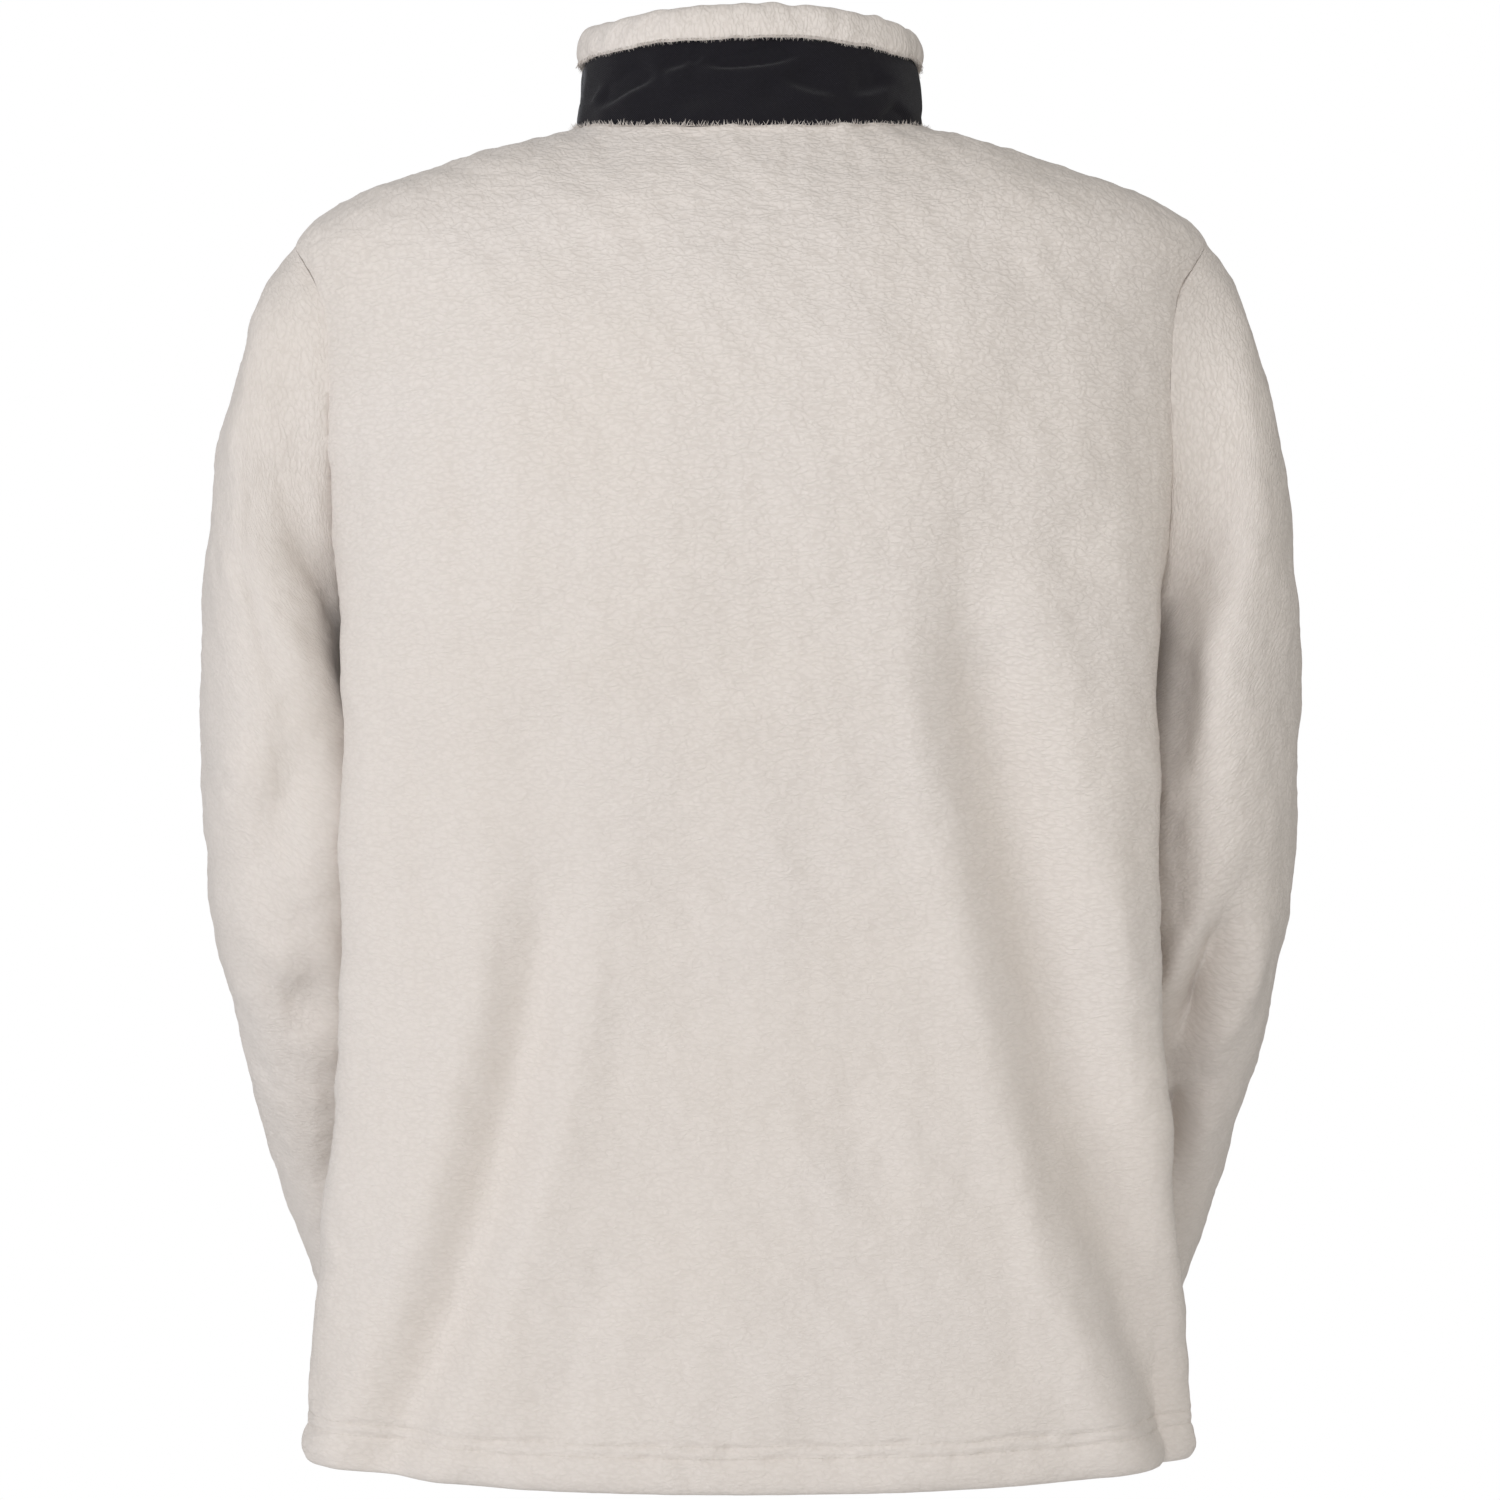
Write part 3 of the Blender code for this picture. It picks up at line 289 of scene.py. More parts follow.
def creaseLines(a, b, rows):
    # Relief of creases: a narrow ridge with a hollow along one side of it
    total = np.zeros(np.shape(a))
    for row in rows:
        away, along, side = nearLine(a, b, row)
        width, ridge, hollow, way = row[6:]
        beside = away * side * -way  # the lines run from the wearer's left, so their left is below
        shape = ridge * bell(beside, np.where(beside > 0, width * cloth["creaseSteep"], width * cloth["creaseGentle"]))
        past = beside - cloth["hollowAt"] * width
        shape -= hollow * bell(past, np.where(past > 0, cloth["hollowFar"] * width, width))
        total += shape * fade(along, 0.0, 0.0)
    return total


def unevenness(points, size, seed, flat=1.0):
    # A smooth random height, about 1 either way, from waves in all directions
    draws = np.random.default_rng(seed)
    total = 0
    for _ in range(16):
        direction = draws.normal(size=3) * np.array([1, 1, flat])
        wave = direction / np.linalg.norm(direction) * 2 * math.pi / size * draws.uniform(0.6, 1.5)
        total = total + np.sin(points @ wave + draws.uniform(0, 2 * math.pi))
    return total / 2.83


def unevenCloth(points):
    total = 0
    for i, (height, size) in enumerate((cloth["swell"], cloth["roll"], cloth["clump"])):
        total = total + height * unevenness(points, size, cloth["seeds"]["surface"] + i)
    return total


def distanceTo(points, line):
    # From every point to a polyline
    steps = np.arange(0, len(line) - 0.99, 0.25)
    dense = pointsAt(steps, np.arange(len(line)), line)
    flat = points.reshape(-1, 3)
    near = np.full(len(flat), 1e9)
    for first in range(0, len(flat), 4000):
        part = flat[first:first + 4000]
        squares = (part**2).sum(1)[:, None] + (dense**2).sum(1) - 2 * part @ dense.T
        near[first:first + 4000] = np.sqrt(np.maximum(squares.min(axis=1), 0))
    return near.reshape(points.shape[:-1])


def seamValley(points, line, seed, depth=None, ridge=0.0):
    away = distanceTo(points, line)
    pucker = 1 + cloth["seamPucker"] * unevenness(points, cloth["puckerSize"], seed)
    valley = -(depth or cloth["seamDepth"]) * bell(away, cloth["seamWidth"])
    return pucker * (valley + ridge * bell(away - cloth["seamRidgeAt"], cloth["seamRidgeWidth"]))


def seamStrength(points):
    # Seams are drawn in less along the armholes, and hardly at all over the shoulder's tip
    tipZ, pitZ = torso["rings"][torso["tip"]][0], torso["rings"][torso["pit"]][0]
    x, z = np.abs(points[..., 0]), points[..., 2]
    byArm = np.clip((z - pitZ) / cloth["seamEase"], 0, 1)
    fromTip = ((x - torso["rings"][torso["tip"]][3]) / cloth["seamEase"]) ** 2 + ((z - tipZ) / cloth["seamEase"]) ** 2
    return (1 - cloth["easeByArm"] * byArm) * (1 - cloth["easeByTip"] * np.exp(-fromTip))


def roundedEdge(away, radius):
    # How far a turned edge falls back, by the distance from it
    near = np.clip(radius - away, 0, radius)
    return radius - np.sqrt(radius**2 - near**2)


def hemRelief(rise, points, seed):
    total = -roundedEdge(rise, hem["edgeRadius"]) * hem["edgeRound"]
    plump = hem["plump"] * bell(rise - hem["plumpAt"], hem["plumpWidth"])
    total = total + plump * (1 + 0.3 * unevenness(points, 0.05, seed))
    for number, line in enumerate(hem["lines"]):
        wander = hem["grooveWander"] * unevenness(points, 0.060, seed + number, flat=0.2)
        strength = 1 + 0.35 * unevenness(points, 0.018, seed + 3 + number, flat=0.2)
        total = total - hem["grooveDepth"] * strength * bell(rise - line - wander, hem["grooveWidth"])
    return total


def runAlong(points, axis):
    steps = np.linalg.norm(np.diff(points, axis=axis), axis=-1)
    zero = np.zeros_like(np.take(steps, [0], axis=axis))
    return np.concatenate([zero, np.cumsum(steps, axis=axis)], axis=axis)


def borderSum(grids):
    # Outward directions shared by the points of seams, keyed by place
    sums = {}
    for points, normals in grids:
        rows, columns = points.shape[:2]
        for r in range(rows):
            for c in range(columns) if r in (0, rows - 1) else (0, columns - 1):
                spot = tuple(np.round(points[r, c] * 2e4).astype(int))
                sums[spot] = sums.get(spot, 0) + normals[r, c]
    return sums


def sharedAt(sums, point, normal):
    found = sums.get(tuple(np.round(point * 2e4).astype(int)), normal)
    mean = found / np.linalg.norm(found)
    return mean / max(float(mean @ normal), 0.6)


def picks(count, step):
    kept = list(range(0, count - 1, step))
    return np.array(kept + [count - 1])


def rimFaces(outerPath, innerPath, kept):
    # Closes a wall's edge between a fine path and a coarse one; paths run as the outer faces pass them
    faces = []
    for k in range(len(kept) - 1):
        first, last = kept[k], kept[k + 1]
        middle = (first + last) // 2
        a, b = innerPath[k], innerPath[k + 1]
        for j in range(first, last):
            faces.append((outerPath[j + 1], outerPath[j], a if j < middle else b))
        faces.append((outerPath[middle], a, b))
    return faces


def clothShell(name, outer, inner, rowPicks, columnPicks, material, closed=False, uv=None):
    # A closed wall of cloth: a fine outer face, a coarser lining and the edges between them
    rows, columns = outer.shape[:2]
    innerRows, innerColumns = inner.shape[:2]
    base = rows * columns
    outerIndex = np.arange(base).reshape(rows, columns)
    innerIndex = base + np.arange(innerRows * innerColumns).reshape(innerRows, innerColumns)
    if closed:
        outerIndex = np.concatenate([outerIndex, outerIndex[:, :1]], axis=1)
        innerIndex = np.concatenate([innerIndex, innerIndex[:, :1]], axis=1)
        columnPicks = np.append(columnPicks, columns)
    quads = np.stack([outerIndex[:-1, :-1], outerIndex[:-1, 1:], outerIndex[1:, 1:], outerIndex[1:, :-1]], axis=-1)
    lining = np.stack([innerIndex[:-1, :-1], innerIndex[1:, :-1], innerIndex[1:, 1:], innerIndex[:-1, 1:]], axis=-1)
    faces = [tuple(f) for f in quads.reshape(-1, 4).tolist()] + [tuple(f) for f in lining.reshape(-1, 4).tolist()]
    faces += rimFaces(outerIndex[0], innerIndex[0], columnPicks)
    backwards = outerIndex.shape[1] - 1 - columnPicks[::-1]
    faces += rimFaces(outerIndex[-1][::-1], innerIndex[-1][::-1], backwards)
    if not closed:
        faces += rimFaces(outerIndex[:, -1], innerIndex[:, -1], rowPicks)
        faces += rimFaces(outerIndex[::-1, 0], innerIndex[::-1, 0], rows - 1 - rowPicks[::-1])
    points = np.concatenate([outer.reshape(-1, 3), inner.reshape(-1, 3)])
    if uv is not None:
        uv = np.concatenate([uv.reshape(-1, 2), uv[np.ix_(rowPicks, columnPicks[:innerColumns])].reshape(-1, 2)])
    return meshPiece(name, points, faces, material, uv)


def sweptFaces(count, columns):
    # The closed skin of a loop of places swept along columns, with both ends shut
    index = np.arange(count * columns).reshape(count, columns)
    faces = []
    for r in range(count):
        below, above = index[r], index[(r + 1) % count]
        faces += [(below[c], above[c], above[c + 1], below[c + 1]) for c in range(columns - 1)]
    return faces + [tuple(index[::-1, 0]), tuple(index[:, -1])]


def addObject(name, data):
    made = bpy.data.objects.new(name, data)
    bpy.context.scene.collection.objects.link(made)
    return made


def meshPiece(name, points, faces, material, uv=None, sharp=50):
    mesh = bpy.data.meshes.new(name)
    mesh.from_pydata(np.asarray(points, float).tolist(), [], [tuple(int(i) for i in face) for face in faces])
    if uv is not None:
        layer = mesh.uv_layers.new(name="clothMap")
        corners = np.zeros(len(mesh.loops), np.int32)
        mesh.loops.foreach_get("vertex_index", corners)
        layer.data.foreach_set("uv", np.asarray(uv, np.float32)[corners].ravel())
    mesh.shade_smooth()
    mesh.set_sharp_from_angle(angle=math.radians(sharp))
    mesh.materials.append(material)
    return addObject(name, mesh)


def addNodes(tree, rows):
    made = {}
    for name, kind, settings in rows:
        node = tree.nodes.new(kind)
        node.name = name
        for key, value in settings.items():
            if isinstance(key, str) and hasattr(node, key):
                setattr(node, key, value)
            else:
                node.inputs[key].default_value = value
        made[name] = node
    return made


def join(tree, nodes, links):
    # Each link is "node.socket > node.socket", with sockets by name or number
    for row in links:
        ends = [place.split(".") for place in row.split(" > ")]
        (source, output), (target, entry) = [(nodes[name], int(key) if key.isdigit() else key) for name, key in ends]
        tree.links.new(source.outputs[output], target.inputs[entry])


def newGroup(name, sizes, places=("Place",)):
    group = bpy.data.node_groups.new(name, "ShaderNodeTree")
    for socket in places:
        group.interface.new_socket(socket, in_out="INPUT", socket_type="NodeSocketVector")
    for socket, value in sizes.items():
        made = group.interface.new_socket(socket, in_out="INPUT", socket_type="NodeSocketFloat")
        made.default_value = value
    for socket in ("Height", "Shade"):
        group.interface.new_socket(socket, in_out="OUTPUT", socket_type="NodeSocketFloat")
    return group, {"start": group.nodes.new("NodeGroupInput"), "end": group.nodes.new("NodeGroupOutput")}


def pileGroup():
    # Curled pile: short wavy crinkles lying across the cloth, over small matted clumps
    sizes = {"Curl Length": 0.0045, "Curl Width": 0.0016, "Clump Size": 0.009, "Matted Below": -0.42,
             "Curled Above": -0.03}
    group, n = newGroup("curledPile", sizes, ("Place", "Body Place"))
    n |= addNodes(group, (
        ("split", "ShaderNodeSeparateXYZ", {}),
        ("across", "ShaderNodeMath", {"operation": "DIVIDE"}),
        ("upward", "ShaderNodeMath", {"operation": "DIVIDE"}),
        ("place", "ShaderNodeCombineXYZ", {}),
        ("clumpScale", "ShaderNodeMath", {"operation": "DIVIDE", 0: 1.0}),
        ("clumps", "ShaderNodeTexNoise", {"noise_dimensions": "3D", "Detail": 2.0, "Roughness": 0.55}),
        ("sway", "ShaderNodeTexNoise", {"noise_dimensions": "3D", "Scale": 0.40, "Detail": 2.0}),
        ("swayCentre", "ShaderNodeVectorMath", {"operation": "SUBTRACT", 1: (0.5, 0.5, 0.5)}),
        ("swaySize", "ShaderNodeVectorMath", {"operation": "SCALE", "Scale": 2.6}),
        ("bent", "ShaderNodeVectorMath", {"operation": "ADD"}),
        ("curls", "ShaderNodeTexVoronoi", {"voronoi_dimensions": "2D", "feature": "F1", "Scale": 1.0}),
        ("curlShape", "ShaderNodeMapRange", {"From Min": 0.75, "From Max": 0.15, "interpolation_type": "SMOOTHSTEP"}),
        ("fibres", "ShaderNodeTexNoise", {"noise_dimensions": "3D", "Scale": 3.4, "Detail": 2.0, "Roughness": 0.7}),
        ("height", "ShaderNodeVectorMath", {"operation": "DOT_PRODUCT", 1: (-0.6, 0.0, 1.0)}),
        ("curled", "ShaderNodeMapRange", {"To Min": 0.30, "To Max": 0.62}),
        ("curlPart", "ShaderNodeMath", {"operation": "MULTIPLY"}),
        ("withClumps", "ShaderNodeMath", {"operation": "MULTIPLY_ADD", 1: 0.25}),
        ("withFibres", "ShaderNodeMath", {"operation": "MULTIPLY_ADD", 1: 0.45}),
        ("shade", "ShaderNodeMapRange", {"From Min": 0.25, "From Max": 1.0}),
    ))
    join(group, n, (
        "start.Place > split.0", "split.X > across.0", "start.Curl Length > across.1", "split.Y > upward.0",
        "start.Curl Width > upward.1", "across.0 > place.X", "upward.0 > place.Y", "start.Clump Size > clumpScale.1",
        "start.Place > clumps.Vector", "clumpScale.0 > clumps.Scale", "place.0 > sway.Vector",
        "sway.Color > swayCentre.0", "swayCentre.0 > swaySize.0", "place.0 > bent.0", "swaySize.0 > bent.1",
        "bent.0 > curls.Vector", "bent.0 > fibres.Vector", "curls.Distance > curlShape.Value",
        "start.Body Place > height.0", "height.Value > curled.Value", "start.Matted Below > curled.From Min",
        "start.Curled Above > curled.From Max", "curlShape.0 > curlPart.0", "curled.0 > curlPart.1",
        "clumps.Fac > withClumps.0", "curlPart.0 > withClumps.2", "fibres.Fac > withFibres.0",
        "withClumps.0 > withFibres.2", "withFibres.0 > shade.Value", "withFibres.0 > end.Height",
        "shade.0 > end.Shade",
    ))
    return group


def weaveGroup():
    # Plain weave: warp and weft threads crossing over and under, slightly uneven
    group, n = newGroup("plainWeave", {"Thread": 0.0006})
    n |= addNodes(group, (
        ("perThread", "ShaderNodeMath", {"operation": "DIVIDE", 0: math.pi}),
        ("scaled", "ShaderNodeVectorMath", {"operation": "SCALE"}),
        ("split", "ShaderNodeSeparateXYZ", {}),
        ("warp", "ShaderNodeMath", {"operation": "SINE"}),
        ("weft", "ShaderNodeMath", {"operation": "SINE"}),
        ("crossed", "ShaderNodeMath", {"operation": "MULTIPLY"}),
        ("half", "ShaderNodeMath", {"operation": "MULTIPLY_ADD", 1: 0.5, 2: 0.5}),
        ("slubs", "ShaderNodeTexNoise", {"noise_dimensions": "3D", "Scale": 420.0, "Detail": 3.0}),
        ("height", "ShaderNodeMath", {"operation": "MULTIPLY_ADD", 1: 0.6}),
        ("shade", "ShaderNodeMapRange", {"From Min": 0.2, "From Max": 1.4}),
    ))
    join(group, n, (
        "start.Thread > perThread.1", "start.Place > scaled.0", "perThread.0 > scaled.Scale", "scaled.0 > split.0",
        "split.X > warp.0", "split.Y > weft.0", "warp.0 > crossed.0", "weft.0 > crossed.1", "crossed.0 > half.0",
        "start.Place > slubs.Vector", "slubs.Fac > height.0", "half.0 > height.2", "height.0 > shade.Value",
        "height.0 > end.Height", "shade.0 > end.Shade",
    ))
    return group


def speckGroup():
    # Fine mottling for moulded and painted pieces, and for thread
    group, n = newGroup("fineMottle", {"Grain": 1500.0})
    n |= addNodes(group, (
        ("grain", "ShaderNodeTexNoise", {"noise_dimensions": "3D", "Detail": 3.0, "Roughness": 0.6}),
        ("shade", "ShaderNodeMapRange", {"From Min": 0.25, "From Max": 0.75}),
    ))
    join(group, n, (
        "start.Place > grain.Vector", "start.Grain > grain.Scale", "grain.Fac > shade.Value",
        "grain.Fac > end.Height", "shade.0 > end.Shade",
    ))
    return group


def makeFinish(name, group, settings, dark, light, roughness, bump, place=None, metallic=0.0, sheen=None, tint=None):
    # One material: a group's Shade between two colours and its Height as a bump; place names the cloth's own map
    material = bpy.data.materials.new(name)
    material.use_nodes = True
    tree = material.node_tree
    shader = tree.nodes["Principled BSDF"]
    shader.inputs["Roughness"].default_value = roughness
    shader.inputs["Metallic"].default_value = metallic
    if sheen:
        shader.inputs["Sheen Weight"].default_value = sheen[0]
        shader.inputs["Sheen Roughness"].default_value = sheen[1]
        shader.inputs["Specular IOR Level"].default_value = 0.15
    n = addNodes(tree, (
        ("body", "ShaderNodeTexCoord", {}),
        ("effect", "ShaderNodeGroup", {"node_tree": group, **settings}),
        ("colour", "ShaderNodeMix", {"data_type": "RGBA", "A": (*dark, 1), "B": (*light, 1)}),
        ("relief", "ShaderNodeBump", {"Strength": bump[0], "Distance": bump[1]}),
    ))
    n["shader"] = shader
    links = ["effect.Shade > colour.Factor", "effect.Height > relief.Height", "relief.Normal > shader.Normal"]
    if place:
        n |= addNodes(tree, (("cloth", "ShaderNodeUVMap", {"uv_map": place}),))
    links.append("cloth.UV > effect.Place" if place else "body.Object > effect.Place")
    if "Body Place" in n["effect"].inputs:
        links.append("body.Object > effect.Body Place")
    if tint:
        n |= addNodes(tree, (
            ("spots", "ShaderNodeTexNoise", {"Scale": tint["scale"], "Detail": 2.0}),
            ("spotShare", "ShaderNodeMapRange", {"From Min": 0.3, "From Max": 0.7}),
            ("tinted", "ShaderNodeMix", {"data_type": "RGBA", "blend_type": "MULTIPLY", "B": (*tint["colour"], 1)}),
        ))
        links += [
            "body.Object > spots.Vector", "spots.Fac > spotShare.Value", "spotShare.0 > tinted.Factor",
            "colour.Result > tinted.A",
        ]
    links.append(("tinted" if tint else "colour") + ".Result > shader.Base Color")
    join(tree, n, links)
    return material


curledPile, plainWeave, fineMottle = pileGroup(), weaveGroup(), speckGroup()
fleeceFinish = makeFinish(
    "creamPile", curledPile, {"Curl Length": 0.0034, "Curl Width": 0.0018, "Clump Size": 0.006},
    (0.640, 0.586, 0.536), (0.715, 0.660, 0.610), 0.95, (0.55, 0.0009), place="clothMap", sheen=(0.15, 0.6),
    tint={"scale": 9.0, "colour": (0.992, 0.986, 0.974)},
)
wovenFinish = makeFinish(
    "darkWovenCloth", plainWeave, {"Thread": 0.0006}, (0.0040, 0.0036, 0.0054), (0.0120, 0.0108, 0.0150), 0.70,
    (0.8, 0.0004), place="clothMap", sheen=(0.10, 0.45),
)
tapeFinish = makeFinish(
    "darkZipTape", plainWeave, {"Thread": 0.0005}, (0.012, 0.011, 0.014), (0.03, 0.028, 0.033), 0.75, (0.5, 0.0002),
)
threadFinish = makeFinish(
    "creamThread", fineMottle, {"Grain": 1800.0}, (0.56, 0.51, 0.45), (0.70, 0.65, 0.59), 0.7, (0.3, 0.0001),
)
teethFinish = makeFinish(
    "mouldedTeeth", fineMottle, {"Grain": 700.0}, (0.016, 0.015, 0.017), (0.028, 0.027, 0.030), 0.42, (0.15, 0.0001),
)
metalFinish = makeFinish(
    "darkPaintedMetal", fineMottle, {"Grain": 900.0}, (0.018, 0.018, 0.020), (0.030, 0.030, 0.032), 0.36,
    (0.1, 0.0001), metallic=0.6,
)
print("materials made")

# Folds of the body: a bent line through three points (sideways, up), then width, depth, and strength at each end
bodyFolds = dict(
    back=(
        (-0.108, -0.190, -0.106, -0.345, -0.234, -0.690, 0.020, 0.0140, 0.0, 0.8),
        (-0.120, -0.420, -0.163, -0.545, -0.234, -0.690, 0.018, 0.0045, 0.0, 1.0),
        (-0.184, -0.190, -0.187, -0.330, -0.190, -0.500, 0.020, -0.0045, 0.0, 0.2),
        (-0.188, -0.225, -0.150, -0.222, -0.100, -0.190, 0.022, 0.0030, 0.0, 0.0),
        (0.100, -0.350, 0.108, -0.520, 0.185, -0.680, 0.015, 0.0105, 0.0, 1.0),
        (0.170, -0.290, 0.165, -0.360, 0.160, -0.440, 0.016, 0.0030, 0.0, 0.0),
        (0.186, -0.235, 0.155, -0.220, 0.115, -0.200, 0.020, 0.0040, 0.0, 0.0),
        (-0.040, -0.487, -0.056, -0.525, -0.077, -0.570, 0.013, 0.0020, 0.0, 0.0),
        (0.140, -0.120, 0.146, -0.200, 0.140, -0.300, 0.012, 0.0016, 0.0, 0.0),
        (-0.168, -0.090, -0.132, -0.138, -0.102, -0.230, 0.022, 0.0022, 0.0, 0.0),
        (-0.140, -0.470, -0.150, -0.560, -0.176, -0.640, 0.010, 0.0016, 0.0, 0.3),
        (0.060, -0.560, 0.085, -0.610, 0.100, -0.665, 0.012, 0.0018, 0.0, 0.6),
        (0.010, -0.600, 0.005, -0.640, 0.010, -0.668, 0.011, 0.0013, 0.0, 0.6),
        (-0.020, -0.300, -0.030, -0.360, -0.052, -0.430, 0.014, 0.0012, 0.0, 0.0),
    ),
    front=(
        (-0.165, -0.235, -0.120, -0.290, -0.080, -0.390, 0.022, 0.0050, 0.6, 0.0),
        (0.165, -0.240, 0.125, -0.300, 0.095, -0.420, 0.022, 0.0055, 0.6, 0.0),
        (-0.120, -0.450, -0.135, -0.550, -0.165, -0.660, 0.020, 0.0050, 0.0, 0.7),
        (0.130, -0.420, 0.120, -0.540, 0.150, -0.660, 0.020, 0.0045, 0.0, 0.7),
        (-0.060, -0.470, -0.072, -0.560, -0.090, -0.650, 0.013, 0.0020, 0.0, 0.5),
        (0.062, -0.500, 0.070, -0.580, 0.082, -0.655, 0.013, 0.0022, 0.0, 0.5),
        (-0.150, -0.150, -0.110, -0.180, -0.070, -0.240, 0.018, 0.0020, 0.0, 0.0),
        (0.152, -0.140, 0.118, -0.175, 0.080, -0.225, 0.018, 0.0022, 0.0, 0.0),
        (-0.175, -0.360, -0.160, -0.430, -0.158, -0.500, 0.012, 0.0018, 0.0, 0.0),
        (0.172, -0.350, 0.163, -0.410, 0.158, -0.470, 0.012, 0.0018, 0.0, 0.0),
        (-0.040, -0.120, -0.055, -0.170, -0.050, -0.230, 0.014, 0.0012, 0.0, 0.0),
        (0.045, -0.110, 0.055, -0.150, 0.048, -0.220, 0.014, 0.0012, 0.0, 0.0),
    ),
)

levels, armholeStart = bodyLevels()
angles = bodyAngles(levels)
bodyPoints, bodyNormals, bodyRelief = {}, {}, {}
for name, grid in angles.items():
    points, normals, deep, behind = torsoGrid(levels, grid)
    face = "back" if name == "back" else "front"
    relief = bentLines(points[..., 0], points[..., 2], bodyFolds[face]) * np.clip(deep / cloth["foldFreeSide"], 0, 1)
    bodyPoints[name], bodyNormals[name], bodyRelief[name] = points, normals, relief


def meetAtSides(values):
    # Brings the back and each front together along the side seams, spread over the cloth beside them
    rows = slice(0, armholeStart + 1)
    for front, edge, backEdge in (("left_front", -1, 0), ("right_front", 0, -1)):
        middle = (values[front][rows, edge] + values["back"][rows, backEdge]) / 2
        for name, column in ((front, edge), ("back", backEdge)):
            away = runAlong(bodyPoints[name][rows], 1)
            share = bell(away - away[:, [column]], cloth["sideSpread"])
            gap = middle - values[name][rows, column]
            values[name][rows] += gap[:, None] * share.reshape(share.shape + (1,) * (gap.ndim - 1))


meetAtSides(bodyRelief)
print("body surface laid out:", {name: points.shape for name, points in bodyPoints.items()})


def armholeLine():
    # From the shoulder tip down the front edge, then up the back edge
    rows = list(range(armholeStart, armholeStart + torso["armholeSteps"] + 1))
    down = [bodyPoints["left_front"][row, -1] for row in reversed(rows)]
    up = [bodyPoints["back"][row, 0] for row in rows[1:-1]]
    return np.array(down + up)


armhole = armholeLine()


# The sleeve as sections down the arm: outermost x and z, innermost x and z, depth, half depth, lean, belly
sleeve = dict(
    sections=(
        (0.2500, -0.0780, 0.2050, -0.2665, 0.0000, 0.0655, 0, 0.018),
        (0.2610, -0.1090, 0.2055, -0.2755, -0.001, 0.0705, 0, 0.019),
        (0.2720, -0.1500, 0.2050, -0.2880, -0.002, 0.0740, 0, 0.016),
        (0.2800, -0.1920, 0.2030, -0.3040, -0.003, 0.0760, 0, 0.011),
        (0.2837, -0.2340, 0.2005, -0.3250, -0.004, 0.0765, 0, 0.006),
        (0.2848, -0.2760, 0.1980, -0.3500, -0.006, 0.0760, 2, 0.003),
        (0.2858, -0.3180, 0.1950, -0.3740, -0.010, 0.0745, 5, 0.000),
        (0.2850, -0.3570, 0.1930, -0.3970, -0.017, 0.0725, 9, 0.000),
        (0.2834, -0.3957, 0.1916, -0.4203, -0.028, 0.0695, 15, 0.000),
        (0.2789, -0.4306, 0.1881, -0.4434, -0.043, 0.0660, 21, 0.000),
        (0.2727, -0.4627, 0.1843, -0.4673, -0.061, 0.0625, 26, 0.000),
        (0.2655, -0.4940, 0.1795, -0.4940, -0.080, 0.0590, 29, 0.000),
        (0.2580, -0.5245, 0.1746, -0.5215, -0.099, 0.0560, 30, 0.000),
        (0.2504, -0.5550, 0.1696, -0.5490, -0.118, 0.0535, 30, 0.000),
        (0.2427, -0.5845, 0.1645, -0.5775, -0.137, 0.0510, 30, 0.000),
        (0.2354, -0.6120, 0.1596, -0.6040, -0.155, 0.0490, 30, 0.000),
        (0.2268, -0.6448, 0.1538, -0.6362, -0.1765, 0.0470, 30, 0.000),
    ),
    cell=0.0030,
    metresPerDegree=0.0011, metresPerSection=0.034,
)
